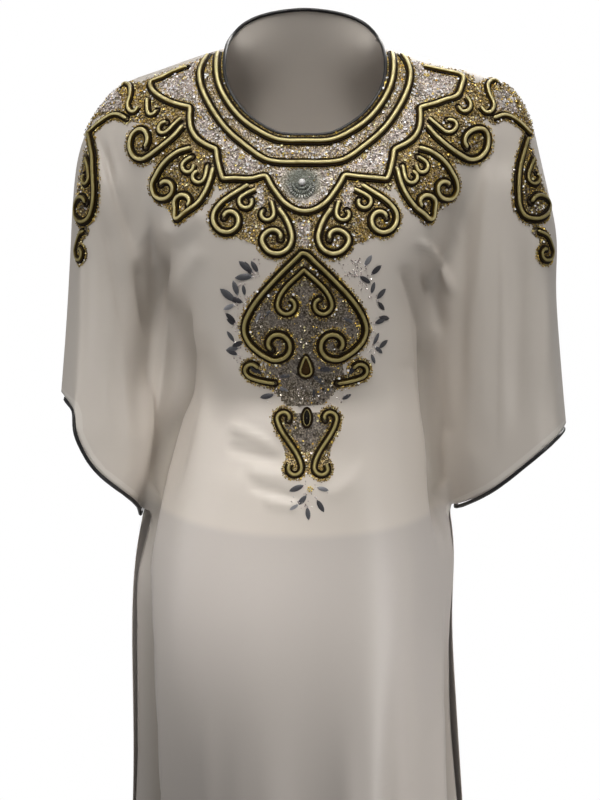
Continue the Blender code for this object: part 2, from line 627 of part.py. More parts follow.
def lining_mesh(grids, front):
    """The lining's mesh: the front's own points down to the underarm, moved in."""
    kept = [grids["chest"][:, 1:-1], grids["right_strap"][1:, 1:], grids["left_strap"][1:, :-1]]
    kept = [grid.copy() for grid in kept]
    tree = KDTree(len(front.vertices))
    for vert in front.vertices:
        tree.insert(vert.co, vert.index)
    tree.balance()
    for grid in kept:
        for place in np.ndindex(grid.shape[:2]):
            _, index, _ = tree.find(grid[place])
            grid[place] -= np.array(front.vertices[index].normal) * (CLOTH + LAYER_GAP)
    return mesh_of("front_lining", kept, -1)


def respaced(path, step, turn=CORD_TURN):
    """The path with points no further apart than step, and closer where it bends."""
    dense = smooth_line(path, 0.0008) if len(path) < 60 else as_array(path)
    chords = np.diff(dense, axis=0)
    heading = np.unwrap(np.arctan2(chords[:, 1], chords[:, 0]))
    bends = np.concatenate([[0], np.abs(np.diff(heading)), [0]])
    lengths = np.concatenate([[0], np.linalg.norm(chords, axis=1)])
    effort = np.cumsum(np.maximum(lengths / step, bends / turn))
    count = max(3, int(math.ceil(effort[-1])) + 1)
    at = np.linspace(0, effort[-1], count)
    return np.stack([np.interp(at, effort, dense[:, k]) for k in range(2)], axis=1)


def surface_of(mesh):
    """The panel's outer facets, to lay things on."""
    points = [v.co.copy() for v in mesh.vertices]
    return BVHTree.FromPolygons(points, [tuple(p.vertices) for p in mesh.polygons])


def laid_on(surface, path, height, facing=-1, closed=False):
    """(x, z) points as points in space, nowhere nearer the panel's facets than height."""
    found, normals = [], []
    for x, z in path:
        start, ahead = Vector((x, facing, z)), Vector((0, -facing, 0))
        hit = surface.ray_cast(start, ahead)
        if hit[0] is None:
            continue
        around = [hit[1]]
        for step in ((NEARBY, 0, 0), (-NEARBY, 0, 0), (0, 0, NEARBY), (0, 0, -NEARBY)):
            near = surface.ray_cast(start + Vector(step), ahead)
            if near[0] is not None:
                around.append(near[1])
        normals.append(sum(around, Vector()).normalized())
        found.append(hit[0] + normals[-1] * height)
    count = len(found)
    for _ in range(CORD_LIFTS):
        for i in range(count if closed else count - 1):
            j = (i + 1) % count
            for share in (0, 0.25, 0.5, 0.75, 1):
                sample = found[i].lerp(found[j], share)
                nearest, normal, _, gap = surface.find_nearest(sample)
                gap = gap if (sample - nearest).dot(normal) > 0 else -gap
                if gap < height:
                    found[i] = found[i] + normals[i] * (height - gap)
                    found[j] = found[j] + normals[j] * (height - gap)
    return found


def bezier(start, first, second, end, count=24):
    t = np.linspace(0, 1, count)[:, None]
    start, first, second, end = map(as_array, (start, first, second, end))
    return (1 - t) ** 3 * start + 3 * t * (1 - t) ** 2 * first + 3 * t * t * (1 - t) * second + t**3 * end


def curl(centre, radius, entry, turns, tighten, point=0.0):
    """A curl that winds in from its entry angle (degrees), anticlockwise for positive turns."""
    share = np.linspace(0, 1, int(abs(turns) * 60) + 4)
    angle = math.radians(entry) + share * turns * 2 * math.pi
    reach = radius * (1 - (1 - tighten) * share)
    tip = math.radians(entry) + math.copysign(TIP_AT, turns)
    reach = reach + point * np.exp(-(((angle - tip) / TIP_WIDTH) ** 2))
    return as_array(centre) + np.stack([np.cos(angle) * reach, np.sin(angle) * reach], axis=1)


def hook(row):
    """A hooked cord's path in (x, z), from its start into its curl."""
    turn = math.copysign(1, row["turns"])
    wound = curl((row["centre_x"], row["centre_z"]), row["radius"], row["entry"], row["turns"],
                 row["tighten"], row["point"])
    start, heading = as_array((row["x"], row["z"])), math.radians(row["heading"])
    entry = math.radians(row["entry"])
    way = np.linalg.norm(wound[0] - start)
    leaving = np.array([math.sin(heading), -math.cos(heading)]) * way * row["leave"]
    arriving = np.array([-math.sin(entry), math.cos(entry)]) * turn * way * row["arrive"]
    return np.vstack([bezier(start, start + leaving, wound[0] - arriving, wound[0])[:-1], wound])


def s_cord(row):
    """An S cord's path in (x, z), from the end of its upper curl to that of its lower one."""
    upper = curl((row["x"], row["z"]), row["radius"], row["leave"], row["turns"],
                 S_TIGHTEN)
    lower = curl((row["foot_x"], row["foot_z"]), row["foot_radius"], row["foot_leave"],
                 row["foot_turns"], S_TIGHTEN)
    out, back = upper[0] - upper[1], lower[0] - lower[1]
    way = np.linalg.norm(upper[0] - lower[0]) * S_STEM
    out, back = out / np.linalg.norm(out) * way, back / np.linalg.norm(back) * way
    stem = bezier(upper[0], upper[0] + out, lower[0] + back, lower[0])
    return np.vstack([upper[::-1], stem[1:-1], lower])


def stepped_edge():
    """Half of the yoke's stepped edge, each stretch bowed as its row says."""
    rows = [dict(zip(STEP_COLUMNS, row)) for row in STEPPED_EDGE]
    half = []
    for before, row in zip(rows, rows[1:]):
        a, b = as_array((before["x"], before["z"])), as_array((row["x"], row["z"]))
        step = b - a
        out = np.array([-step[1], step[0]]) / np.linalg.norm(step)
        share = np.linspace(0, 1, 17)[:, None]
        half.append((a + step * share + out * row["bow"] * np.sin(math.pi * share))[:-1])
    return np.vstack([*half, as_array([(rows[-1]["x"], rows[-1]["z"])])])


def drawn_in(path, side, draw):
    """The path drawn in on the right, where the sleeve hangs nearer the body."""
    starts, share = draw if side == "right" else (0.0, 1.0)
    beyond = np.clip(path[:, 0] - starts, 0, None)
    return np.stack([path[:, 0] - beyond * (1 - share), path[:, 1]], axis=1)


def drifted(path):
    """The pendant's path, with its middle drifting sideways on the way down."""
    shift = DRIFT_TOP[0] + (path[:, 1] - DRIFT_TOP[1]) * DRIFT_SLOPE
    return np.stack([path[:, 0] + shift, path[:, 1]], axis=1)


def offset_line(line, distance):
    """The line moved sideways, to its left as it runs."""
    heading = np.gradient(line, axis=0)
    heading /= np.linalg.norm(heading, axis=1, keepdims=True)
    return line + distance * np.stack([-heading[:, 1], heading[:, 0]], axis=1)


def beyond_edge(front, back):
    """A closed loop just past the joined edges of front and back, along the wall's middle.

    Each side gives its edge's points and those next to them in the cloth, from one end on.
    """
    joined = []
    for here, there in zip(front, back):
        ends = (here[0] + there[0]) / 2, (here[-1] + there[-1]) / 2
        joined.append(np.vstack([[ends[0]], here[1:-1], [ends[1]], there[-2:0:-1]]))
    points, inside = joined
    along_edge = np.roll(points, -1, axis=0) - np.roll(points, 1, axis=0)
    along_edge /= np.linalg.norm(along_edge, axis=1, keepdims=True)
    out = points - inside
    out -= (out * along_edge).sum(axis=1, keepdims=True) * along_edge
    out /= np.linalg.norm(out, axis=1, keepdims=True)
    inward = np.cross(along_edge, out)
    inward *= np.sign((inward * (points.mean(axis=0) - points)).sum(axis=1, keepdims=True))
    ahead = np.roll(points, -1, axis=0) - points
    ahead /= np.linalg.norm(ahead, axis=1, keepdims=True)
    straightness = (ahead * np.roll(ahead, 1, axis=0)).sum(axis=1, keepdims=True)
    shift = np.clip(1 / np.sqrt(np.clip((1 + straightness) / 2, 0.05, 1)), 1, PIPING_MOST_SHIFT)
    for corner in (0, len(front[0]) - 1):
        out[corner] = out[corner - 1] + out[corner + 1]
        out[corner] /= np.linalg.norm(out[corner])
        shift[corner] = PIPING_TIP_SHIFT
    return points + out * shift * (PIPING_RADIUS + PIPING_GAP) + inward * CLOTH / 2


def build_piping(grids, look, collection):
    """Black piping just past the neck edge and the two cuffs."""
    sides = grids["front"], grids["back"]
    loops = {"neck_piping": [neck_edge(side) for side in sides]}
    for name in ("right", "left"):
        sleeves = [side[f"{name}_sleeve"] for side in sides]
        loops[f"{name}_cuff_piping"] = [(sleeve[-1], sleeve[-2]) for sleeve in sleeves]
    for name, (front, back) in loops.items():
        loop = beyond_edge(front, back)
        add_tube(name, loop, PIPING_RADIUS, look, collection, closed=True, sides=4)


def build_cords(surface, back_surface, gold, collection):
    """The couched gold cords of the yoke, the pendant below it and its tail."""

    def lay(name, path, thin=False, on=surface, facing=-1):
        radius = THIN_CORD_RADIUS if thin else CORD_RADIUS
        points = laid_on(on, respaced(path, CORD_STEP), radius + CORD_GAP, facing)
        add_tube(name, points, radius, gold, collection, sides=4 if thin else 6)

    def both_halves(right, left):
        return np.vstack([right * [-1, 1], left[::-1][1:]])

    for name, line, on, facing in (
        ("neck_cord", FRONT_NECK, surface, -1),
        ("back_neck_cord", BACK_NECK, back_surface, 1),
    ):
        edge = smooth_line(line)
        inset = offset_line(both_halves(edge, edge), -NECK_CORD_INSET)
        lay(name, inset[NECK_CORD_TRIM:-NECK_CORD_TRIM], on=on, facing=facing)
    collar = smooth_line(COLLAR)
    lay("collar_cord", both_halves(collar, collar))
    step = stepped_edge()
    drawn = (drawn_in(step, side, SHOULDER_DRAW) for side in ("right", "left"))
    lay("stepped_cord", both_halves(*drawn))
    for side, sign in (("right", -1), ("left", 1)):
        mirror = [sign, 1]
        for table, draw in ((SHOULDER_HOOKS, SHOULDER_DRAW), (SLEEVE_HOOKS, SLEEVE_DRAW)):
            for values in table:
                row = dict(zip(HOOK_COLUMNS, values))
                lay(f"{side}_{row['name']}", drawn_in(hook(row), side, draw) * mirror, row["thin"])
        for values in PENDANT_HOOKS:
            row = dict(zip(HOOK_COLUMNS, values))
            lay(f"{side}_{row['name']}", drifted(hook(row) * mirror), row["thin"])
        upper, tail = (s_cord(dict(zip(S_COLUMNS, values))) for values in S_CORDS)
        lay(f"{side}_{S_CORDS[0][0]}", drawn_in(upper, side, SHOULDER_DRAW) * mirror, True)
        lay(f"{side}_{S_CORDS[1][0]}", drifted(tail * mirror), True)
        lay(f"{side}_scallop", drawn_in(smooth_line(SCALLOP), side, SHOULDER_DRAW) * mirror, True)
    for values in HEARTS:
        row = dict(zip(HOOK_COLUMNS, values))
        half = hook(row)
        lay(row["name"], drifted(np.vstack([(half * [-1, 1])[::-1], half[1:]])), row["thin"])


def build_pads(surface, gold, collection):
    """The padded drop under the hearts and the oval between the tail's scrolls."""
    for values in PADS:
        row = dict(zip(PAD_COLUMNS, values))
        angle = np.linspace(0, 2 * math.pi, PAD_POINTS, endpoint=False)
        across = row["breadth"] / 2 * np.sin(angle) * (1 - row["pull"] * np.cos(angle))
        curve = bpy.data.curves.new(row["name"], "CURVE")
        curve.dimensions = "2D"
        curve.fill_mode = "BOTH"
        curve.extrude = PAD_THICKNESS / 2
        spline = curve.splines.new("POLY")
        spline.points.add(len(angle) - 1)
        for point, x, y in zip(spline.points, across, np.cos(angle) * row["length"] / 2):
            point.co = (x, y, 0, 1)
        spline.use_cyclic_u = True
        pad = add_object(row["name"], curve, gold, collection)
        x, z = drifted(as_array([(0.0, row["z"])]))[0]
        hit, normal, _, _ = surface.ray_cast(Vector((x, -1, z)), Vector((0, 1, 0)))
        pad.location = hit + normal * (PAD_THICKNESS / 2 + PAD_GAP)
        pad.rotation_mode = "QUATERNION"
        pad.rotation_quaternion = normal.to_track_quat("Z", "Y")


def build():
    for old in list(bpy.data.objects):
        bpy.data.objects.remove(old)
    garment = bpy.data.collections.new("kaftan_dress")
    bpy.context.scene.collection.children.link(garment)
    ivory, cream = material("ivory_georgette", IVORY), material("cream_lining", CREAM)
    gold, black = material("gold_cord", GOLD), material("black_piping", BLACK)
    grids = {
        "front": panel_grids(FRONT_NECK, STEEP_NECK_SHARE, FRONT_FORM, FRONT_FOLDS, -1),
        "back": panel_grids(BACK_NECK, 0, BACK_FORM, BACK_FOLDS, 1),
    }
    front = mesh_of("front", list(grids["front"].values()), -1, turned_seams=True)
    back = mesh_of("back", list(grids["back"].values()), 1, turned_seams=True)
    add_wall("front", front, CLOTH, ivory, garment)
    add_wall("back", back, CLOTH, ivory, garment)
    add_wall("front_lining", lining_mesh(grids["front"], front), LINING_CLOTH, cream, garment)
    build_piping(grids, black, garment)
    build_cords(surface_of(front), surface_of(back), gold, garment)
    build_pads(surface_of(front), gold, garment)


build()
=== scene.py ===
# %% [markdown]
# # A kaftan dress with a corded and beaded yoke
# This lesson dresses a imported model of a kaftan. The model gives the true places and
# sizes. Here each plain solid gets the look of the real thing: crepe georgette that
# hangs in folds, a soft lining, satin piping, couched gold cords with dark borders, and
# beads, sequins and leaf shapes sewn on between them.

import math

import bmesh
import bpy
import numpy as np
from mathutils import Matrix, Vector
from mathutils.bvhtree import BVHTree
from mathutils.kdtree import KDTree


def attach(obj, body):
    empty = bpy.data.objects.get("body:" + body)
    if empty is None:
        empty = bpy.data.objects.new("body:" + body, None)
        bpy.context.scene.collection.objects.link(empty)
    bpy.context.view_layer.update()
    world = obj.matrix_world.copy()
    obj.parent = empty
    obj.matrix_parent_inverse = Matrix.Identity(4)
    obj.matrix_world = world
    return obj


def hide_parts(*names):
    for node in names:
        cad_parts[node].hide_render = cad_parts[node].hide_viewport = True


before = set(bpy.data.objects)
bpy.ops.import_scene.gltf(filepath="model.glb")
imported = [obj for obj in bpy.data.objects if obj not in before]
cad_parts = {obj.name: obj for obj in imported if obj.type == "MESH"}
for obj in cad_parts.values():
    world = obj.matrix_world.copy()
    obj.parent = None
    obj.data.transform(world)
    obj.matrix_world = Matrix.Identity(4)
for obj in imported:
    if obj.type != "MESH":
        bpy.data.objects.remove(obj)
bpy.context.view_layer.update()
scene = bpy.context.scene

# %% [markdown]
# ## Camera
# The photograph was taken with a long lens from just below the shoulders, looking
# slightly down. A camera points along its own -Z axis, so its turn is worked out from
# the line to the place it looks at.

# %% Camera
CAMERA_AT = Vector((-0.005, -2.4, -0.20))
LOOKS_AT = Vector((-0.005, 0.0, -0.381))
LENS = 102.6

lens = bpy.data.cameras.new("camera")
lens.lens = LENS
lens.sensor_width = 36
lens.clip_start = 0.05
camera = bpy.data.objects.new("camera", lens)
camera.location = CAMERA_AT
camera.rotation_euler = (LOOKS_AT - CAMERA_AT).to_track_quat("-Z", "Y").to_euler()
scene.collection.objects.link(camera)
scene.camera = camera
FRAME_WIDTH, FRAME_HEIGHT = 600, 800
PIXELS_AHEAD = LENS / lens.sensor_width * FRAME_HEIGHT


def seen_through(px, py):
    """The direction in which the camera sees this pixel of the photograph."""
    ray = Vector((px - FRAME_WIDTH / 2, FRAME_HEIGHT / 2 - py, -PIXELS_AHEAD))
    return (camera.rotation_euler.to_matrix() @ ray).normalized()


print("the middle of the frame is seen along", np.round(seen_through(300, 400), 3).tolist())

# %% [markdown]
# ## Light
# Studio light for cloth is soft, so that folds show without hard shadows. Three lamps
# high in front are spread narrowly over the yoke, so that the top of the chest is bright
# and what turns down below it is in shade. Small ones do the same for one shoulder, the
# waist and one sleeve, one from the right lights the skirt, and wide ones at both sides,
# overhead and behind light the rest. A lamp spread narrowly needs few watts. The world is
# white where the camera sees it and dim where it lights, so that the backdrop stays pale
# and the cloth keeps its shading.

# %% Lamps and world
LAMP_COLUMNS = ("name", "place", "aim", "size", "spread", "watts")
LAMPS = [
    ("key", (-0.55, -1.40, 1.35), (-0.14, 0.0, -0.12), 0.60, 26, 0.39),
    ("key_middle", (-0.10, -0.75, 1.50), (-0.05, 0.0, -0.10), 0.50, 34, 0.34),
    ("key_right", (0.40, -0.90, 1.40), (0.12, 0.0, -0.10), 0.50, 28, 0.30),
    ("shoulder_glow", (0.45, -1.00, 1.00), (0.13, -0.1, -0.19), 0.25, 12, 0.045),
    ("sleeve", (-0.70, -1.40, 0.20), (-0.20, -0.05, -0.46), 0.35, 18, 0.04),
    ("waist", (-0.05, -1.30, 0.10), (-0.04, -0.1, -0.515), 0.25, 14, 0.055),
    ("waist_left", (-0.40, -1.30, 0.10), (-0.12, -0.1, -0.50), 0.25, 13, 0.065),
    ("skirt", (1.30, -1.30, -0.70), (0.14, 0.0, -0.80), 0.50, 30, 0.68),
    ("right", (2.20, -0.30, -0.10), (0.0, 0.0, -0.40), 1.40, 180, 5.5),
    ("left", (-2.20, -0.20, -0.10), (0.0, 0.0, -0.40), 1.40, 180, 9.0),
    ("overhead", (-0.10, 0.20, 2.10), (0.0, 0.0, -0.40), 1.80, 180, 8.0),
    ("behind", (0.50, 2.30, 0.90), (0.0, 0.0, -0.50), 1.60, 180, 44.0),
]
LAMP_COLOUR = (1.0, 0.98, 0.955)
WORLD_LIGHT = 0.15

for values in LAMPS:
    row = dict(zip(LAMP_COLUMNS, values))
    lamp = bpy.data.lights.new(row["name"], "AREA")
    lamp.size = row["size"]
    lamp.spread = math.radians(row["spread"])
    lamp.energy = row["watts"]
    lamp.color = LAMP_COLOUR
    held = bpy.data.objects.new(row["name"], lamp)
    held.location = row["place"]
    held.rotation_euler = (Vector(row["aim"]) - held.location).to_track_quat("-Z", "Y").to_euler()
    held.visible_camera = False
    scene.collection.objects.link(held)

world = bpy.data.worlds.new("studio")
scene.world = world
world.use_nodes = True
sky = world.node_tree
seen = sky.nodes.new("ShaderNodeBackground")
seen.inputs["Strength"].default_value = 1.0
seen.inputs["Color"].default_value = (1, 1, 1, 1)
lit = sky.nodes["Background"]
lit.inputs["Color"].default_value = (0.96, 0.98, 1.0, 1)
lit.inputs["Strength"].default_value = WORLD_LIGHT
chooser = sky.nodes.new("ShaderNodeMixShader")
rays = sky.nodes.new("ShaderNodeLightPath")
sky.links.new(rays.outputs["Is Camera Ray"], chooser.inputs[0])
sky.links.new(lit.outputs[0], chooser.inputs[1])
sky.links.new(seen.outputs[0], chooser.inputs[2])
sky.links.new(chooser.outputs[0], sky.nodes["World Output"].inputs["Surface"])
scene.view_settings.view_transform = "Standard"
print("lamps:", len(LAMPS))

# %% [markdown]
# ## Reckoning with sockets
# A material is a network of nodes, and sums in it are easier to read as sums. The class
# below wraps one output socket. Writing 1 - mask or mask * 0.4 then adds the Math node
# that does it, or a Vector Math node for colours and vectors. Finish makes the material
# itself, adds any other node through one method, and sets or links the shader's sockets.

# %% Wire and Finish
VECTOR_TYPES = {"VECTOR", "RGBA"}


class Wire:
    """One output socket, with the operators that this lesson needs."""

    def __init__(self, finish, socket):
        self.finish = finish
        self.socket = socket

    def reckon(self, operation, first, second):
        many = self.socket.type in VECTOR_TYPES
        kind = "ShaderNodeVectorMath" if many else "ShaderNodeMath"
        return self.finish.node(kind, {"operation": operation}, {0: first, 1: second})

    def __add__(self, other):
        return self.reckon("ADD", self, other)

    def __radd__(self, other):
        return self.reckon("ADD", other, self)

    def __sub__(self, other):
        return self.reckon("SUBTRACT", self, other)

    def __rsub__(self, other):
        return self.reckon("SUBTRACT", other, self)

    def __mul__(self, other):
        return self.reckon("MULTIPLY", self, other)

    def __rmul__(self, other):
        return self.reckon("MULTIPLY", other, self)


class Finish:
    """A material, with its Principled shader at hand."""

    def __init__(self, name):
        self.material = bpy.data.materials.new(name)
        self.material.use_nodes = True
        self.tree = self.material.node_tree
        self.shader = self.tree.nodes["Principled BSDF"]

    def node(self, kind, settings=None, sockets=None, out=0):
        """Adds a node: its settings first, then its sockets' values or links."""
        made = self.tree.nodes.new(kind)
        for name, value in (settings or {}).items():
            if name == "stops":
                self.put_stops(made.color_ramp, value)
            else:
                setattr(made, name, value)
        for name, value in (sockets or {}).items():
            self.put(self.entry(made, name), value)
        return Wire(self, made.outputs[out])

    def entry(self, node, name):
        """An input by its number, its identifier or its name."""
        if isinstance(name, int):
            return node.inputs[name]
        for socket in node.inputs:
            if socket.identifier == name:
                return socket
        return node.inputs[name]

    def put(self, socket, value):
        """Links a wire to the socket, or sets its value."""
        if isinstance(value, Wire):
            self.tree.links.new(value.socket, socket)
        elif isinstance(value, (int, float)) and socket.type in VECTOR_TYPES:
            socket.default_value = [value] * len(socket.default_value)
        else:
            socket.default_value = value

    def put_stops(self, ramp, stops):
        while len(ramp.elements) < len(stops):
            ramp.elements.new(1.0)
        for element, (place, colour) in zip(ramp.elements, stops):
            element.position = place
            element.color = colour

    def set(self, **sockets):
        """Sets the shader's sockets, written with _ for a space."""
        for name, value in sockets.items():
            self.put(self.shader.inputs[name.replace("_", " ")], value)

    def blend(self, share, low, high):
        """The colour low where share is 0 and high where it is 1."""
        return self.node(
            "ShaderNodeMix",
            {"data_type": "RGBA"},
            {"Factor_Float": share, "A_Color": low, "B_Color": high},
            out=2,
        )

    def place(self):
        """Where the surface lies on the dress, in metres."""
        return self.node("ShaderNodeTexCoord", out=3)

    def kept(self, name):
        """A number that the mesh keeps for each point under this name."""
        return self.node("ShaderNodeAttribute", {"attribute_name": name}, out=2)

    def noise(self, size, detail=2.0, stretch=(1, 1, 1)):
        """Soft clouds about this many metres across, from 0 to 1."""
        where = self.node(
            "ShaderNodeMapping",
            {"vector_type": "POINT"},
            {"Vector": self.place(), "Scale": stretch},
        )
        return self.node(
            "ShaderNodeTexNoise", {}, {"Vector": where, "Scale": 1 / size, "Detail": detail}
        )

    def between(self, value, low, high):
        """Runs from 0 to 1 while the value runs from low to high."""
        return self.node(
            "ShaderNodeMapRange",
            {"interpolation_type": "SMOOTHSTEP", "clamp": True},
            {"Value": value, "From Min": low, "From Max": high},
        )

    def raised(self, height, depth, strength=1.0):
        """A bump of this depth in metres, for the shader's Normal."""
        return self.node(
            "ShaderNodeBump", {}, {"Height": height, "Distance": depth, "Strength": strength}
        )


def shade(red, green, blue):
    """A colour given as on a screen, 0 to 255, as light."""
    return tuple(
        (c / 255 / 12.92 if c < 10.31 else ((c / 255 + 0.055) / 1.055) ** 2.4)
        for c in (red, green, blue)
    ) + (1.0,)


print("a mid grey is", round(shade(128, 128, 128)[0], 3), "as light")

# %% [markdown]
# ## Georgette
# Georgette is a sheer crepe: highly twisted yarns give it a fine pebbled surface with a
# quiet sheen. Two crossed waves make the weave, and a small noise makes the crepe's
# pebble. A little of what lies behind shows through, so alpha is below 1. Below the
# curve where the lining ends, the cloth looks a shade greyer, as no lining lies behind
# it, and it is darkened further down as painted shade, as are deep creases. Along the
# cuffs and the hem the cloth is turned up double, which makes a paler band.

# %% Georgette, lining and satin
LINED_TO_Z = -0.509
# Down to this height the unlined cloth is darkened more and more, as painted shade.
SHADED_TO_Z = -0.86
LINING_RISE = 0.8
TURNED_UP = 0.0085
# A wave texture of scale 1 repeats every 0.314 m.
WAVE_AT_SCALE_1 = 0.314
GEORGETTE_PITCH, LINING_PITCH = 0.0006, 0.0008


def woven(finish, pitch):
    """Crossed threads at this pitch, from 0 to 1."""
    scale = WAVE_AT_SCALE_1 / pitch
    across, down = (
        finish.node(
            "ShaderNodeTexWave",
            {"wave_type": "BANDS", "bands_direction": axis},
            {"Vector": finish.place(), "Scale": scale, "Distortion": 1.5, "Detail Scale": 2.0},
            out=1,
        )
        for axis in ("X", "Z")
    )
    return (across + down) * 0.5


def georgette():
    cloth = Finish("ivory georgette")
    across = cloth.node("ShaderNodeSeparateXYZ", {}, {0: cloth.place()})
    height = cloth.node("ShaderNodeSeparateXYZ", {}, {0: cloth.place()}, out=2)
    above_edge = height - across * across * LINING_RISE
    unlined = 1 - cloth.between(above_edge, LINED_TO_Z - 0.006, LINED_TO_Z + 0.005)
    from_edge = cloth.kept("from_edge")
    turned_up = 1 - cloth.between(from_edge, TURNED_UP - 0.0008, TURNED_UP)
    fold_shade = cloth.kept("fold") * 0.5
    weave = woven(cloth, GEORGETTE_PITCH)
    pebble = cloth.noise(0.0011, 2.0)
    cloud = cloth.noise(0.16, 2.0, (1, 1, 0.4))
    lined = cloth.blend(cloud, shade(212, 203, 193), shade(224, 216, 207))
    sheer = cloth.blend(cloud, shade(196, 189, 183), shade(206, 199, 193))
    # Painted shade: below the lining the colour darkens further down.
    depth = cloth.between(height, SHADED_TO_Z, LINED_TO_Z)
    sheer = cloth.blend(depth, shade(184, 177, 171), sheer)
    colour = cloth.blend(unlined, lined, sheer)
    # Painted shade: the colour darkens in deep creases.
    colour = cloth.blend(fold_shade, colour, shade(104, 95, 80))
    colour = cloth.blend(turned_up * 0.5, colour, shade(236, 230, 222))
    cloth.set(
        Base_Color=cloth.blend(weave * 0.16, colour, shade(172, 162, 150)),
        Roughness=0.34 + pebble * 0.16,
        Alpha=0.94,
        Sheen_Weight=0.10,
        Sheen_Roughness=0.35,
        Specular_IOR_Level=0.5,
        Normal=cloth.raised(weave * 0.4 + pebble + turned_up * 2.0, 0.00010, 0.55),
    )
    return cloth.material


def lining():
    cloth = Finish("cream lining")
    weave = woven(cloth, LINING_PITCH)
    cloud = cloth.noise(0.10)
    cloth.set(
        Base_Color=cloth.blend(cloud, shade(228, 222, 213), shade(236, 231, 224)),
        Roughness=0.55 + weave * 0.2,
        Normal=cloth.raised(weave, 0.00008, 0.5),
    )
    return cloth.material


def satin():
    cloth = Finish("black satin")
    threads = cloth.noise(0.0009, 1.0, (1, 1, 0.15))
    cloth.set(
        Base_Color=cloth.blend(threads, shade(14, 13, 14), shade(38, 36, 38)),
        Roughness=0.28 + threads * 0.2,
        Normal=cloth.raised(threads, 0.00010, 0.5),
    )
    return cloth.material


GEORGETTE, LINING, SATIN = georgette(), lining(), satin()
print("cloth finishes:", GEORGETTE.name, LINING.name, SATIN.name)

# %% [markdown]
# ## From a solid wall back to cloth
# The model's cloth is a solid wall with an outer and an inner face. Cloth in Blender is
# best made from one surface that is thickened at the end. So the outer face alone is
# picked out: starting at its furthest face, the choice spreads over every edge that is
# not sharp, and stops at the rims. A subdivision surface then makes it smooth.

# %% The outer skin of a wall
WELD = 1e-5
RIM_ANGLE = math.radians(55)
JOIN_FACE_ANGLE, JOIN_SHAPE_ANGLE = math.radians(50), math.radians(60)
SKIN_LEVELS = 2


def finished(build, name):
    """A mesh of this name from what was built, which is then let go."""
    made = bpy.data.meshes.new(name)
    build.to_mesh(made)
    build.free()
    return made


def welded(node):
    """The node's mesh with its shared points joined."""
    mesh = bmesh.new()
    mesh.from_mesh(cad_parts[node].data)
    bmesh.ops.remove_doubles(mesh, verts=mesh.verts, dist=WELD)
    mesh.normal_update()
    return mesh


def outer_skin(node, facing):
    """The wall's outer surface, facing -1 to the front or 1 to the back."""
    mesh = welded(node)
    looking_out = [face for face in mesh.faces if face.normal.y * facing > 0.8]
    start = max(looking_out, key=lambda face: face.calc_center_median().y * facing)
    kept, waiting = {start}, [start]
    while waiting:
        face = waiting.pop()
        for edge in face.edges:
            if edge.calc_face_angle(math.pi) > RIM_ANGLE:
                continue
            for other in edge.link_faces:
                if other not in kept:
                    kept.add(other)
                    waiting.append(other)
    gone = [face for face in mesh.faces if face not in kept]
    bmesh.ops.delete(mesh, geom=gone, context="FACES")
    bmesh.ops.join_triangles(
        mesh,
        faces=mesh.faces,
        angle_face_threshold=JOIN_FACE_ANGLE,
        angle_shape_threshold=JOIN_SHAPE_ANGLE,
    )
    return finished(mesh, node)


def settled(mesh, levels):
    """The mesh after this many subdivisions, as plain points and faces."""
    holder = bpy.data.objects.new(mesh.name, mesh)
    scene.collection.objects.link(holder)
    smooth = holder.modifiers.new("smooth", "SUBSURF")
    smooth.levels = smooth.render_levels = levels
    smooth.boundary_smooth = "PRESERVE_CORNERS"
    now = bpy.context.evaluated_depsgraph_get()
    fine = bpy.data.meshes.new_from_object(holder.evaluated_get(now))
    bpy.data.objects.remove(holder)
    fine.shade_smooth()
    return fine


def places(mesh):
    """The mesh's points as an array."""
    found = np.empty(len(mesh.vertices) * 3)
    mesh.vertices.foreach_get("co", found)
    return found.reshape(-1, 3)


def put_places(mesh, points):
    mesh.vertices.foreach_set("co", np.asarray(points, float).reshape(-1))
    mesh.update()


def keep(mesh, name, values):
    """Keeps a number for each point of the mesh under this name."""
    kept = mesh.attributes.new(name, "FLOAT", "POINT")
    kept.data.foreach_set("value", np.asarray(values).astype(np.float32))


def directions(mesh):
    """The mesh's normals at its points."""
    found = np.empty(len(mesh.vertices) * 3)
    mesh.vertex_normals.foreach_get("vector", found)
    return found.reshape(-1, 3)


def finer_above(mesh, height):
    """The mesh with its faces above this height split once more."""
    build = bmesh.new()
    build.from_mesh(mesh)
    chosen = {edge for face in build.faces for edge in face.edges
              if face.calc_center_median().z > height}
    bmesh.ops.subdivide_edges(build, edges=list(chosen), cuts=1, use_grid_fill=True, smooth=0.3)
    build.to_mesh(mesh)
    build.free()
    return mesh


def surface_tree(mesh):
    faces = [tuple(face.vertices) for face in mesh.polygons]
    return BVHTree.FromPolygons([Vector(p) for p in places(mesh)], faces)


FINE_ABOVE = -0.62
FRONT_SKIN = finer_above(settled(outer_skin("front", -1), SKIN_LEVELS), FINE_ABOVE)
BACK_SKIN = settled(outer_skin("back", 1), SKIN_LEVELS)
print("front and back faces:", len(FRONT_SKIN.polygons), len(BACK_SKIN.polygons))
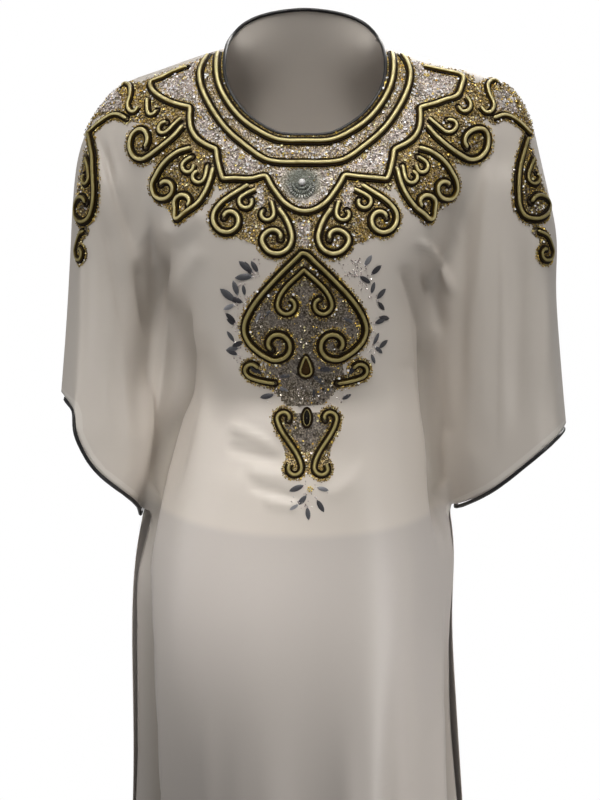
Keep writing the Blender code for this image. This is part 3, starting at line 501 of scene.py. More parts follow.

# %% [markdown]
# ## Folds and creases
# Cloth hangs from the shoulder seams and bends where the sleeve leaves the side seam, so
# its creases run mostly downwards and fade at both ends. Each row below is one soft trough or ridge,
# placed one by one. Rows for the front give pixels of the photograph, and a ray from the
# camera finds the place on the cloth. A crease bows sideways, falls off faster on one
# side than on the other, and rises or sinks by a few millimetres. The cloth's points
# move along their own normals. Each point keeps how deep its fold is, and the cloth is
# darkened there as painted shade.

# %% Creases
CREASE_COLUMNS = ("top_x", "top_y", "foot_x", "foot_y", "bow", "width", "other", "rise")
FRONT_CREASES = [
    (94, 122, 138, 268, 3, 4.0, 7.0, -4.5),
    (108, 132, 126, 240, 2, 4.0, 4.5, 3.0),
    (136, 255, 158, 345, -2, 5.0, 8.0, -4.5),
    (99, 205, 123, 340, 3, 4.0, 7.0, -2.6),
    (88, 230, 84, 395, 2, 6.0, 8.0, -2.2),
    (120, 330, 128, 470, 2, 5.0, 9.0, 2.4),
    (104, 375, 108, 425, 1, 1.8, 2.6, 1.3),
    (111, 395, 113, 452, 1, 1.8, 2.6, 1.2),
    (172, 228, 150, 440, -7, 22.0, 3.5, -7.5),
    (180, 246, 158, 430, -5, 3.0, 11.0, 4.0),
    (206, 206, 158, 240, 4, 11.0, 12.0, 4.5),
    (186, 292, 183, 420, 3, 13.0, 4.0, -7.0),
    (190, 376, 141, 590, -6, 15.0, 3.5, -14.0),
    (150, 362, 145, 520, 5, 8.0, 2.8, 4.5),
    (196, 350, 168, 520, 16, 4.0, 16.0, 3.0),
    (170, 392, 430, 392, 0, 22.0, 38.0, -7.0),
    (196, 330, 222, 452, -2, 16.0, 20.0, -4.5),
    (180, 480, 424, 480, 0, 45.0, 26.0, 6.0),
    (414, 236, 454, 300, 8, 5.0, 4.5, 5.5),
    (402, 262, 424, 340, 3, 7.0, 6.0, -3.5),
    (419, 262, 442, 345, 5, 5.0, 7.0, -4.5),
    (398, 262, 424, 332, 3, 6.0, 6.0, -2.5),
    (403, 295, 432, 500, -3, 12.0, 4.0, 3.5),
    (422, 300, 442, 560, -3, 4.5, 13.0, -14.0),
    (441, 425, 447, 508, 0, 3.0, 7.0, 3.0),
    (433, 480, 452, 560, 4, 4.5, 5.0, -4.0),
    (489, 130, 474, 330, 2, 6.0, 9.0, 3.0),
    (468, 190, 460, 430, -3, 7.0, 7.0, -3.5),
    (502, 215, 500, 470, 1, 3.0, 11.0, 2.8),
    (524, 225, 516, 440, -2, 8.0, 7.0, -3.0),
    (546, 280, 542, 410, 1, 5.0, 7.0, 2.2),
    (222, 424, 282, 452, 3, 5.0, 4.5, 3.2),
    (222, 446, 290, 462, -1, 4.0, 4.0, -3.6),
    (244, 468, 292, 480, 1, 5.0, 5.0, 2.8),
    (246, 484, 304, 499, 0, 4.0, 4.0, -3.2),
    (262, 500, 306, 508, 0, 5.0, 5.0, 2.4),
    (322, 500, 372, 452, -5, 9.0, 7.0, 2.6),
    (396, 366, 420, 370, 0, 2.4, 2.6, -1.4),
    (205, 245, 176, 300, -3, 9.0, 9.0, 2.4),
    (140, 470, 182, 1330, -4, 22.0, 4.0, -14.0),
    (446, 560, 462, 1330, 3, 3.5, 16.0, -12.0),
    (205, 640, 214, 1330, 3, 14.0, 9.0, 4.0),
    (250, 720, 262, 1330, -2, 10.0, 14.0, -4.0),
    (345, 690, 352, 1330, 3, 12.0, 10.0, 4.0),
    (398, 640, 404, 1330, -3, 10.0, 12.0, -4.5),
]
# The back isn't in the photograph. Its rows are in millimetres from the dress's middle.
BACK_CREASES = [
    (-140, -110, -165, -330, 6, 6.0, 9.0, -5.0),
    (-118, -170, -140, -430, 5, 5.0, 12.0, 4.5),
    (-200, -120, -206, -420, 3, 6.0, 8.0, -3.0),
    (-228, -190, -236, -390, 2, 4.0, 7.0, 2.2),
    (126, -120, 152, -350, -5, 9.0, 5.0, -5.5),
    (104, -180, 128, -460, -6, 12.0, 5.0, 4.0),
    (190, -110, 202, -430, 2, 8.0, 6.0, 3.2),
    (226, -170, 240, -420, -2, 6.0, 6.0, -2.6),
    (-40, -90, -62, -330, 4, 9.0, 7.0, 2.0),
    (34, -80, 48, -360, -3, 8.0, 8.0, -2.2),
    (-90, -520, -104, -1400, 5, 12.0, 9.0, -5.0),
    (-30, -560, -40, -1400, -4, 10.0, 13.0, 4.5),
    (40, -500, 52, -1400, 4, 13.0, 10.0, -4.5),
    (96, -560, 112, -1400, -5, 9.0, 12.0, 4.0),
]
MM = 0.001
CREASE_GROWTH, CREASE_FADE = 0.25, 0.68
# The painted fold shade starts at the first depth and is full once the fold is deeper by the second.
SHALLOW_FOLD, DEEP_FOLD = 0.0030, 0.009


def eased(value):
    value = np.clip(value, 0, 1)
    return value * value * (3 - 2 * value)


def cloth_at(px, py, tree):
    """The place on the front that the camera sees at this pixel, and the cloth's normal."""
    found, normal, _, _ = tree.ray_cast(CAMERA_AT, seen_through(px, py))
    if found is None:
        raise ValueError(f"no cloth at pixel {px}, {py}")
    return found, normal


def crease_rise(points, row, top, foot):
    """How far one crease moves each point out."""
    way = foot - top
    length = np.linalg.norm(way)
    ahead = way / length
    beside = np.array([-ahead[1], ahead[0]])
    share = (points[:, [0, 2]] - top) @ ahead / length
    aside = (points[:, [0, 2]] - top) @ beside
    aside = aside - row["bow"] * MM * np.sin(math.pi * np.clip(share, 0, 1))
    width = np.where(aside < 0, row["width"], row["other"]) * MM
    fade = eased(share / CREASE_GROWTH) * (1 - eased((share - CREASE_FADE) / (1 - CREASE_FADE)))
    return row["rise"] * MM * fade * np.exp(-((aside / width) ** 2))


def creased(mesh, creases, end_of):
    """Moves the skin's points by every crease, each end found by end_of."""
    points = places(mesh)
    rise = np.zeros(len(points))
    for values in creases:
        row = dict(zip(CREASE_COLUMNS, values))
        top, foot = end_of(row["top_x"], row["top_y"]), end_of(row["foot_x"], row["foot_y"])
        rise += crease_rise(points, row, top, foot)
    put_places(mesh, points + directions(mesh) * rise[:, None])
    # Painted shade: the deeper a trough, the darker the cloth's colour is made there.
    keep(mesh, "fold", np.clip((-rise - SHALLOW_FOLD) / DEEP_FOLD, 0, 1))


def photo_end(px, py):
    return np.array(cloth_at(px, py, smooth_front)[0])[[0, 2]]


smooth_front = surface_tree(FRONT_SKIN)
creased(FRONT_SKIN, FRONT_CREASES, photo_end)
creased(BACK_SKIN, BACK_CREASES, lambda x, z: np.array([x, z]) * MM)
print("creases:", len(FRONT_CREASES), "in front,", len(BACK_CREASES), "behind")

# %% How far the cloth lies from its turned-up edges
EDGE_REACH = 0.03
EDGE_STEP = 0.002


def keep_from_edge(mesh, node_names):
    """Keeps each point's distance from the cuffs and the hem, up to EDGE_REACH."""
    spots = []
    for node in node_names:
        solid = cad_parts[node].data
        for edge in solid.edges:
            start, end = (solid.vertices[i].co for i in edge.vertices)
            count = max(1, round((end - start).length / EDGE_STEP))
            spots += [start.lerp(end, k / count) for k in range(count)]
    tree = KDTree(len(spots))
    for index, spot in enumerate(spots):
        tree.insert(spot, index)
    tree.balance()
    points = places(mesh)
    hem = points[:, 2] - points[:, 2].min()
    gaps = np.array([tree.find(point)[2] for point in points])
    keep(mesh, "from_edge", np.clip(np.minimum(gaps, hem), 0, EDGE_REACH))


for skin in (FRONT_SKIN, BACK_SKIN):
    keep_from_edge(skin, ("right_cuff_piping", "left_cuff_piping"))
print("edge distances are kept up to", EDGE_REACH, "m")

# %% [markdown]
# ## Front and back panels
# The front is cut in one with the fronts of both sleeves, and the back likewise. Each
# becomes one object: the skin, with a Solidify modifier that gives it a thin edge. The
# area of each is printed.

# %% The two panels
CLOTH_THICKNESS, LINING_THICKNESS = 0.0006, 0.0004


def add_piece(name, mesh, finish):
    """A piece that rides with the dress."""
    made = bpy.data.objects.new(name, mesh)
    scene.collection.objects.link(made)
    mesh.materials.clear()
    mesh.materials.append(finish)
    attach(made, "root")
    return made


def add_cloth(name, mesh, finish, thickness=CLOTH_THICKNESS):
    made = add_piece(name, mesh, finish)
    wall = made.modifiers.new("cloth", "SOLIDIFY")
    wall.thickness = thickness
    wall.offset = -1
    return made


def cloth_area(mesh):
    return sum(face.area for face in mesh.polygons)


front_cloth = add_cloth("front_cloth", FRONT_SKIN.copy(), GEORGETTE)
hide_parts("front")
back_cloth = add_cloth("back_cloth", BACK_SKIN.copy(), GEORGETTE)
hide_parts("back")
print("cloth areas:", round(cloth_area(FRONT_SKIN), 3), round(cloth_area(BACK_SKIN), 3))

# %% [markdown]
# ## Lining
# A lining behind the front's upper part keeps the sheer cloth modest and carries the
# weight of the beads. It is a smaller panel on the same form, so it is picked out of
# its own solid in the same way, and takes the same creases.

# %% Lining
lining_skin = settled(outer_skin("front_lining", -1), SKIN_LEVELS + 1)
creased(lining_skin, FRONT_CREASES, photo_end)
front_lining = add_cloth("front_lining_cloth", lining_skin, LINING, LINING_THICKNESS)
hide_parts("front_lining")
print("lining area:", round(cloth_area(lining_skin), 3))

# %% [markdown]
# ## Piping
# The neck and cuffs are bound with narrow black satin. The solid's piping has only four
# sides, so it is subdivided until it is round, then swelled back to its own thickness.

# %% Piping
PIPING_SWELL = 0.0012
PIPING_LEVELS = 2


def add_piping(node):
    fine = settled(finished(welded(node), node), PIPING_LEVELS)
    points, out = places(fine), directions(fine)
    put_places(fine, points + out * PIPING_SWELL)
    piece = add_piece(f"satin_{node}", fine, SATIN)
    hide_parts(node)


PIPED = ("neck_piping", "right_cuff_piping", "left_cuff_piping")
for node in PIPED:
    add_piping(node)
print("piping loops:", len(PIPED))

# %% [markdown]
# ## Gold and dark finishes
# The cords are soft cores wrapped round with fine metal thread, so a cord is satiny and
# lined across with tiny ridges. The tubes below keep how far each point lies along the
# cord and around it. A diagonal wave of the two makes the wrapping. The sine of the turn
# makes the top bright and the sides dark, a painted highlight and shade. Age and handling
# leave the wrapping darker in places.

# %% Cord and bead finishes
WRAP_PITCH = 0.0007


def wrapped(name, low, high, worn, metal, roughness):
    """Thread wrapped round a core, with a painted highlight on top and painted shade at the sides."""
    cord = Finish(name)
    run = cord.kept("along") * (2 * math.pi / WRAP_PITCH)
    turn = cord.kept("around")
    ridge = cord.node("ShaderNodeMath", {"operation": "SINE"}, {0: run + turn}) * 0.5 + 0.5
    crown_highlight = cord.between(cord.node("ShaderNodeMath", {"operation": "SINE"}, {0: turn}), 0.50, 1.0)
    wear = cord.between(cord.noise(0.012, 3.0), 0.52, 0.72)
    # Painted highlight and shade: the top takes the high colour, the sides the low one.
    colour = cord.blend(crown_highlight * (0.75 + ridge * 0.25), low, high)
    cord.set(
        Base_Color=cord.blend(wear * 0.4, colour, worn),
        Metallic=metal,
        Roughness=roughness + ridge * 0.1 + wear * 0.1,
        Normal=cord.raised(ridge, 0.00012, 0.7),
        Specular_IOR_Level=0.15,
    )
    return cord.material


def beaded(name, dark, middle, light, metal, roughness):
    """Beads that differ from one to the next."""
    bead = Finish(name)
    tint = bead.kept("tint")
    lower = bead.blend(bead.between(tint, 0.0, 0.5), dark, middle)
    bead.set(
        Base_Color=bead.blend(bead.between(tint, 0.5, 1.0), lower, light),
        Metallic=metal,
        Roughness=roughness + (1 - tint) * 0.15,
    )
    return bead.material


GOLD_CORD = wrapped(
    "gold wrapped cord", shade(98, 78, 26), shade(246, 232, 172), shade(140, 112, 56), 0.5, 0.30
)
# A darker copy of the gold cord, as painted shade on the pendant, the tail and the sleeves.
SHADED_GOLD_CORD = wrapped(
    "gold wrapped cord with painted shade", shade(58, 44, 12), shade(176, 162, 108), shade(92, 74, 34), 0.5, 0.36
)
DARK_CORD = wrapped(
    "dark wrapped cord", shade(12, 7, 1), shade(40, 27, 8), shade(8, 5, 1), 0.2, 0.5
)
GOLD_BEADS = beaded(
    "gold and bronze beads", shade(84, 62, 22), shade(204, 172, 88), shade(255, 246, 190), 0.6, 0.2
)
SILVER_BEADS = beaded(
    "silver and lavender beads", shade(128, 112, 106), shade(214, 200, 196), shade(255, 252, 248),
    0.45, 0.18,
)
SMOKY_BEADS = beaded(
    "smoky silver beads", shade(40, 32, 24), shade(100, 90, 78), shade(180, 172, 158), 0.45, 0.2
)
LEAF_SEQUINS = beaded(
    "smoky leaf sequins", shade(44, 42, 46), shade(84, 84, 88), shade(150, 150, 154), 0.25, 0.30
)
print("cord finishes:", GOLD_CORD.name, SHADED_GOLD_CORD.name, DARK_CORD.name)

# %% [markdown]
# ## Reading the cords' paths
# Each solid cord is a chain of equal rings of points. Its ends are the only flat faces
# that meet every neighbour at a right angle. From one end's points, each step to the
# next neighbours reaches exactly the next ring, so the rings' middles give the path. A
# smooth curve through them makes it fine again.

# %% Paths
CAP_ANGLE = math.radians(72)
FINE_STEP = 0.0012


def end_ring(mesh):
    """The points of one end of a solid cord."""
    caps = mesh.copy()
    index = caps.verts.layers.int.new("index")
    for vert in caps.verts:
        vert[index] = vert.index
    bmesh.ops.dissolve_limit(
        caps, angle_limit=math.radians(1.0), verts=caps.verts, edges=caps.edges
    )
    for face in caps.faces:
        if all(edge.calc_face_angle(0) > CAP_ANGLE for edge in face.edges):
            found = [vert[index] for vert in face.verts]
            caps.free()
            return found
    raise ValueError("no end found")


def ring_middles(node):
    """The middles of a solid cord's rings, from one end to the other."""
    mesh = welded(node)
    mesh.verts.ensure_lookup_table()
    ring = [mesh.verts[i] for i in end_ring(mesh)]
    seen_points, middles = set(ring), []
    while ring:
        middles.append(sum((vert.co for vert in ring), Vector()) / len(ring))
        ahead = []
        for vert in ring:
            for edge in vert.link_edges:
                other = edge.other_vert(vert)
                if other not in seen_points:
                    seen_points.add(other)
                    ahead.append(other)
        ring = ahead
    mesh.free()
    return np.array([list(middle) for middle in middles])


def smooth_line(points, step=FINE_STEP):
    """A fine line through the points, on a centripetal Catmull-Rom curve."""
    p = np.asarray(points, float)
    p = np.vstack([2 * p[0] - p[1], p, 2 * p[-1] - p[-2]])
    knots = np.concatenate([[0], np.cumsum(np.linalg.norm(np.diff(p, axis=0), axis=1) ** 0.5)])
    parts = []
    for i in range(1, len(p) - 2):
        t0, t1, t2, t3 = knots[i - 1 : i + 3]
        count = max(2, int(np.linalg.norm(p[i + 1] - p[i]) / step) + 1)
        t = np.linspace(t1, t2, count, endpoint=False)[:, None]
        a1 = (t1 - t) / (t1 - t0) * p[i - 1] + (t - t0) / (t1 - t0) * p[i]
        a2 = (t2 - t) / (t2 - t1) * p[i] + (t - t1) / (t2 - t1) * p[i + 1]
        a3 = (t3 - t) / (t3 - t2) * p[i + 1] + (t - t2) / (t3 - t2) * p[i + 2]
        b1 = (t2 - t) / (t2 - t0) * a1 + (t - t0) / (t2 - t0) * a2
        b2 = (t3 - t) / (t3 - t1) * a2 + (t - t1) / (t3 - t1) * a3
        parts.append((t2 - t) / (t2 - t1) * b1 + (t - t1) / (t2 - t1) * b2)
    return np.vstack([*parts, p[-2]])


def run_along(line):
    """How far each point lies along the line."""
    return np.concatenate([[0], np.cumsum(np.linalg.norm(np.diff(line, axis=0), axis=1))])


def read_off(line, length, at):
    """The line's places at these lengths along it."""
    return np.stack([np.interp(at, length, line[:, k]) for k in range(line.shape[1])], axis=1)


def evenly(line, step):
    """The line with its points this far apart."""
    length = run_along(line)
    at = np.linspace(0, length[-1], max(3, int(round(length[-1] / step)) + 1))
    return read_off(line, length, at)


FRONT_TREE, BACK_TREE = surface_tree(FRONT_SKIN), surface_tree(BACK_SKIN)


def on_cloth(points, tree, height=0.0):
    """The points moved to this height above the cloth, and the cloth's normals there."""
    found, up = [], []
    for point in points:
        nearest, normal, _, _ = tree.find_nearest(Vector(point))
        found.append(nearest + normal * height)
        up.append(normal)
    return np.array(found), np.array(up)


NOT_CORDS = {"front", "back", "front_lining", "neck_piping", "right_cuff_piping",
             "left_cuff_piping", "pendant_drop", "tail_oval"}
CORD_NAMES = sorted(set(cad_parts) - NOT_CORDS)
PATHS = {name: evenly(smooth_line(ring_middles(name)), FINE_STEP) for name in CORD_NAMES}
print("cords read from the solids:", len(PATHS))

# %% [markdown]
# ## Cords set in place
# The solids keep a few cords small where cords crowd. Such a cord keeps the curve that
# its solid gives it, but is turned and enlarged as a whole until its two ends lie where
# the dress has them. Others are pushed aside by a few pixels round one place, less and
# less further off.

# %% Cords set in place
END_COLUMNS = ("cord", "first_x", "first_y", "last_x", "last_y")
ENDS = [
    ("right_scallop", 89.0, 134.0, 127.5, 119.0),
    ("left_scallop", 494.0, 118.0, 529.0, 134.0),
    ("right_shoulder_hook", 138.0, 109.0, 123.0, 87.0),
    ("left_shoulder_hook", 498.0, 84.0, 481.0, 109.0),
    ("right_sleeve_outer", 90.0, 134.0, 87.0, 203.0),
    ("left_sleeve_outer", 530.0, 202.0, 526.0, 139.0),
]
NUDGE_COLUMNS = ("cord", "px", "py", "right", "down", "reach")
NUDGES = [
    ("stepped_cord", 288, 203, -1.5, 4.5, 8),
    ("stepped_cord", 323, 203, 1.5, 4.5, 8),
    ("stepped_cord", 305.5, 211, 0.0, 5.0, 10),
    ("stepped_cord", 250, 176, 0.0, 3.0, 10),
    ("stepped_cord", 158, 75, 3.0, 4.0, 9),
    ("stepped_cord", 176, 68, 0.0, 2.5, 8),
    ("stepped_cord", 463, 76, 2.5, -1.0, 8),
    ("stepped_cord", 455, 95, 3.0, 3.5, 9),
    ("left_shoulder_lower", 480, 132, 4.5, -4.5, 11),
    ("right_shoulder_lower", 138, 135, 2.0, -3.0, 11),
    ("right_shoulder_thin", 160, 124, 4.5, 3.0, 9),
    ("left_shoulder_thin", 455, 124, 3.0, -1.0, 8),
    ("right_shoulder_curl", 150, 108, 3.5, 3.5, 10),
    ("left_shoulder_curl", 464, 108, 4.0, -2.0, 10),
    ("right_breast_inner", 256, 237, -5.0, 1.0, 8),
    ("left_breast_inner", 350, 237, 4.5, 1.0, 8),
]
SMOOTHINGS = 12
# The stepped cord's lowest turn is rounder than its corners.
FOOT_AT, FOOT_REACH, FOOT_SMOOTHINGS = (305.5, 204), 0.024, 70


def smoothed(path, share, times):
    """The path with its corners rounded where share is near 1."""
    path = path.copy()
    for _ in range(times):
        halfway = (path[:-2] + path[2:]) / 2
        path[1:-1] += (halfway - path[1:-1]) * share[1:-1, None]
    return path


def pixels_of(points):
    """The pixels of the photograph at which the camera sees these points."""
    turn = np.array(camera.rotation_euler.to_matrix())
    local = (points - np.array(CAMERA_AT)) @ turn
    px = FRAME_WIDTH / 2 + PIXELS_AHEAD * local[:, 0] / -local[:, 2]
    py = FRAME_HEIGHT / 2 - PIXELS_AHEAD * local[:, 1] / -local[:, 2]
    return np.stack([px, py], axis=1)


def placed(path, row):
    """The cord's own curve, turned and enlarged until its two ends lie at these pixels."""
    seen_at = pixels_of(path) @ (1, 1j)
    first, last = row["first_x"] + 1j * row["first_y"], row["last_x"] + 1j * row["last_y"]
    moved = first + (seen_at - seen_at[0]) * (last - first) / (seen_at[-1] - seen_at[0])
    return np.array([list(cloth_at(spot.real, spot.imag, FRONT_TREE)[0]) for spot in moved])


def nudged(path, row):
    """The path pushed aside by some pixels round one place, and smoothed there."""
    here, beside, below = (
        np.array(cloth_at(row["px"] + dx, row["py"] + dy, FRONT_TREE)[0])
        for dx, dy in ((0, 0), (1, 0), (0, 1))
    )
    push = (beside - here) * row["right"] + (below - here) * row["down"]
    reach = np.linalg.norm(beside - here) * row["reach"]
    share = np.exp(-((np.linalg.norm(path - here, axis=1) / reach) ** 2))
    return smoothed(path + share[:, None] * push, share, SMOOTHINGS)


for values in ENDS:
    row = dict(zip(END_COLUMNS, values))
    PATHS[row["cord"]] = evenly(placed(PATHS[row["cord"]], row), FINE_STEP)
for values in NUDGES:
    row = dict(zip(NUDGE_COLUMNS, values))
    PATHS[row["cord"]] = evenly(nudged(PATHS[row["cord"]], row), FINE_STEP)
foot_place = np.array(cloth_at(*FOOT_AT, FRONT_TREE)[0])
from_foot = np.linalg.norm(PATHS["stepped_cord"] - foot_place, axis=1) / FOOT_REACH
PATHS["stepped_cord"] = smoothed(PATHS["stepped_cord"], np.exp(-(from_foot**4)), FOOT_SMOOTHINGS)
print("cords:", len(PATHS), "together", round(sum(len(p) for p in PATHS.values()) * FINE_STEP, 2), "m")

# %% [markdown]
# ## Couched cords
# A couched cord is laid on the cloth and held down by small stitches. Each gold cord
# gets a thin dark cord along both its sides, which sets it off. A tube is built by
# walking along a path and drawing a ring at each point, in the plane of the cloth's
# normal and the direction across the path. Its ends close in a half round.

# %% Tubes
def frames_along(line, up):
    """At each point of the line: the direction across it, in the cloth's plane, and out."""
    ahead = np.gradient(line, axis=0)
    ahead /= np.linalg.norm(ahead, axis=1, keepdims=True)
    across = np.cross(ahead, up)
    across /= np.linalg.norm(across, axis=1, keepdims=True)
    return across, np.cross(across, ahead)


def tube_parts(line, up, radius, sides):
    """Points, faces and kept numbers of a tube with rounded ends."""
    across, out = frames_along(line, up)
    run = run_along(line)
    from_end = np.minimum(run, run[-1] - run)
    closing = np.clip(1 - (1 - np.clip(from_end / radius, 0.02, 1)) ** 2, 0, 1) ** 0.5
    angle = np.linspace(0, 2 * math.pi, sides, endpoint=False) - math.pi / 2
    ring = (
        np.cos(angle)[None, :, None] * across[:, None, :]
        + np.sin(angle)[None, :, None] * out[:, None, :]
    )
    points = line[:, None, :] + ring * (radius * closing)[:, None, None]
    count = len(line)
    i, j = np.meshgrid(np.arange(count - 1), np.arange(sides), indexing="ij")
    i, j = i.ravel(), j.ravel()
    k = (j + 1) % sides
    faces = np.stack([i * sides + j, i * sides + k, (i + 1) * sides + k, (i + 1) * sides + j], axis=1)
    numbers = {"along": np.repeat(run, sides), "around": np.tile(angle, count)}
    return points.reshape(-1, 3), faces, numbers


def joined_mesh(name, parts):
    """One smooth mesh from several sets of points, faces and kept numbers."""
    points, faces, numbers, first = [], [], {}, 0
    for part_points, part_faces, part_numbers in parts:
        points.append(part_points)
        faces.append(part_faces + first)
        first += len(part_points)
        for key, values in part_numbers.items():
            numbers.setdefault(key, []).append(values)
    points, faces = np.vstack(points), np.vstack(faces)
    mesh = bpy.data.meshes.new(name)
    mesh.vertices.add(len(points))
    mesh.vertices.foreach_set("co", points.ravel())
    mesh.loops.add(faces.size)
    mesh.loops.foreach_set("vertex_index", faces.ravel().astype(np.int32))
    mesh.polygons.add(len(faces))
    corners = faces.shape[1]
    mesh.polygons.foreach_set("loop_start", np.arange(0, faces.size, corners, dtype=np.int32))
    mesh.update(calc_edges=True)
    mesh.validate()
    for key, values in numbers.items():
        keep(mesh, key, np.concatenate(values))
    mesh.shade_smooth()
    return mesh


# %% Gold cords and their dark borders
GOLD_RADIUS, THIN_GOLD_RADIUS = 0.0024, 0.0021
DARK_RADIUS, THIN_DARK_RADIUS = 0.0013, 0.0011
GOLD_SIDES, DARK_SIDES = 10, 7
# A cord's middle lies this share of its radius above the cloth.
SUNK, DARK_SUNK = 0.88, 0.8
THIN_ENDINGS = (
    "thin_outer", "thin_inner", "shoulder_thin", "shoulder_curl", "shoulder_hook", "scallop",
    "sleeve_inner", "sleeve_tail", "pendant_leaf", "inner_heart", "tail_scroll",
)


def is_thin(name):
    return name.endswith(THIN_ENDINGS)


def is_shaded(name):
    """The pendant's, the tail's and the sleeves' cords take a darker copy of the gold, as painted
    shade.
    """
    return any(part in name for part in ("pendant", "tail", "sleeve"))


def nearest_other(name, point):
    """How far the point lies from the nearest of the other cords' paths."""
    return min(
        np.linalg.norm(path - point, axis=1).min() for other, path in PATHS.items() if other != name
    )


def lengthened(path, start, end):
    """The path run on straight at its start and end by these lengths."""
    first, last = path[0] - path[2], path[-1] - path[-3]
    first = path[0] + first / np.linalg.norm(first) * start
    last = path[-1] + last / np.linalg.norm(last) * end
    return evenly(np.vstack([[first], path, [last]]), FINE_STEP)


def spaced_out(line, step):
    """The line without points that crowd where it bends back on itself."""
    kept = [line[0]]
    for point in line[1:]:
        if np.linalg.norm(point - kept[-1]) > step:
            kept.append(point)
    return np.array(kept)


def around(line, up, distance, tree, height):
    """A line on the cloth that runs along both sides of the given one, and round its end."""
    across, _ = frames_along(line, up)
    ahead = (line[-1] - line[-2]) / np.linalg.norm(line[-1] - line[-2])
    angle = np.linspace(0, math.pi, 9)[1:-1, None]
    turn = line[-1] + distance * (across[-1] * np.cos(angle) + ahead * np.sin(angle))
    loop = np.vstack([line + across * distance, turn, (line - across * distance)[::-1]])
    moved, _ = on_cloth(loop, tree)
    return on_cloth(evenly(spaced_out(moved, 0.4 * FINE_STEP), FINE_STEP), tree, height)


# How far a cord runs on past its solid, to tuck in beside the one that it starts from.
START_TUCK = 0.0022
UNTUCKED = ("neck_cord", "back_neck_cord", "collar_cord", "stepped_cord", "pendant_heart",
            "pendant_inner_heart")

CORD_LINES, dark_parts = {}, []
for name, path in PATHS.items():
    tree = BACK_TREE if name == "back_neck_cord" else FRONT_TREE
    gold_radius = THIN_GOLD_RADIUS if is_thin(name) else GOLD_RADIUS
    dark_radius = THIN_DARK_RADIUS if is_thin(name) else DARK_RADIUS
    if name not in UNTUCKED:
        if nearest_other(name, path[0]) > nearest_other(name, path[-1]):
            path = path[::-1]
        path = lengthened(path, START_TUCK, 0)
    line, up = on_cloth(path, tree, gold_radius * SUNK)
    CORD_LINES[name] = (line, up, gold_radius + 2 * dark_radius, tree)
    mesh = joined_mesh(name, [tube_parts(line, up, gold_radius, GOLD_SIDES)])
    # Painted shade: the pendant's, the tail's and the sleeves' cords take the darker gold.
    look = SHADED_GOLD_CORD if is_shaded(name) else GOLD_CORD
    cord = add_piece(f"gold_{name}", mesh, look)
    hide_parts(name)
    sunk = dark_radius * DARK_SUNK
    edge, edge_up = around(line, up, gold_radius + sunk, tree, sunk)
    dark_parts.append(tube_parts(edge, edge_up, dark_radius, DARK_SIDES))
dark_mesh = joined_mesh("dark_borders", dark_parts)
dark_borders = add_piece("dark_border_cords", dark_mesh, DARK_CORD)
print("dark border faces:", len(dark_mesh.polygons))

# %% [markdown]
# ## The beaded ground
# Between the cords the cloth is covered with tiny beads, too many to make one by one in
# the depths. So a thin ground lies on the cloth first, in the colour that shows between
# the beads. It is cut out of the cloth's own skin: faces near a cord or inside a field
# stay, and are split finely. Each point keeps how bronze the ground is there. Fields
# are outlined by the cords that bound them, as seen from the front. Where no cord bounds
# one, a few points do.

# %% Outlines of the fields
HULL_REACH = 0.0170
HOOK_GROUPS = [
    ("breast_outer", "breast_inner"),
    ("chest_outer", "chest_inner"),
    ("shoulder_lower", "shoulder_thin"),
    ("shoulder_thin", "shoulder_curl"),
    ("chest_thin_outer", "shoulder_lower"),
    ("shoulder_curl", "shoulder_hook", "shoulder_thin"),
    ("sleeve_outer", "sleeve_inner"),
    ("sleeve_tail",),
    ("pendant_leaf",),
]


def flat_line(name):
    line = CORD_LINES[name][0][:, [0, 2]]
    return line if line[0, 0] < line[-1, 0] else line[::-1]


def ring_between(first, second):
    return np.vstack([flat_line(first), flat_line(second)[::-1]])


def hull(points):
    """The convex outline of flat points."""
    points = points[np.lexsort((points[:, 1], points[:, 0]))]

    def half(ordered):
        chain = []
        for p in ordered:
            while len(chain) > 1:
                a, b = chain[-1] - chain[-2], p - chain[-2]
                if a[0] * b[1] - a[1] * b[0] > 0:
                    break
                chain.pop()
            chain.append(p)
        return chain[:-1]

    return np.array(half(points) + half(points[::-1]))


def inside(points, outline):
    """Which flat points lie inside the outline."""
    outline = np.asarray(outline, float)
    found = np.zeros(len(points), bool)
    ahead = np.roll(outline, -1, axis=0)
    for (x0, z0), (x1, z1) in zip(outline, ahead):
        crosses = (z0 > points[:, 1]) != (z1 > points[:, 1])
        if z1 != z0:
            at = x0 + (points[:, 1] - z0) / (z1 - z0) * (x1 - x0)
            found ^= crosses & (points[:, 0] < at)
    return found


NECK_BAND = ring_between("neck_cord", "collar_cord")
YOKE_FIELD = ring_between("collar_cord", "stepped_cord")
HEART_FIELD = hull(flat_line("pendant_heart"))
TO_EDGE = 0.014
TAIL_HULL = hull(np.vstack([flat_line("right_tail_scroll"), flat_line("left_tail_scroll")]))
BREAST_GAP = np.array([(-0.020, -0.175), (0.020, -0.175), (0.012, -0.218), (0.0, -0.226),
                       (-0.012, -0.218)])
BELOW_HEART = np.array([(-0.036, -0.325), (0.036, -0.325), (0.040, -0.352), (0.018, -0.378),
                        (-0.018, -0.378), (-0.042, -0.352)])
# The shoulder's outer part, from the stepped cord over to the scallop, as one half.
SHOULDER_CAP = [(158, 80), (150, 84), (138, 83), (122, 86), (108, 82), (96, 96), (84, 122),
                (82, 136), (88, 136), (93, 120), (104, 114), (122, 115), (133, 122), (150, 124),
                (160, 110), (152, 95)]
PADS = ("pendant_drop", "tail_oval")


def solid_outline(node):
    """The outline of a solid as seen from the front."""
    points = np.array([list(vert.co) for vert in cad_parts[node].data.vertices])
    return hull(points[:, [0, 2]])


PAD_OUTLINES = [solid_outline(node) for node in PADS]
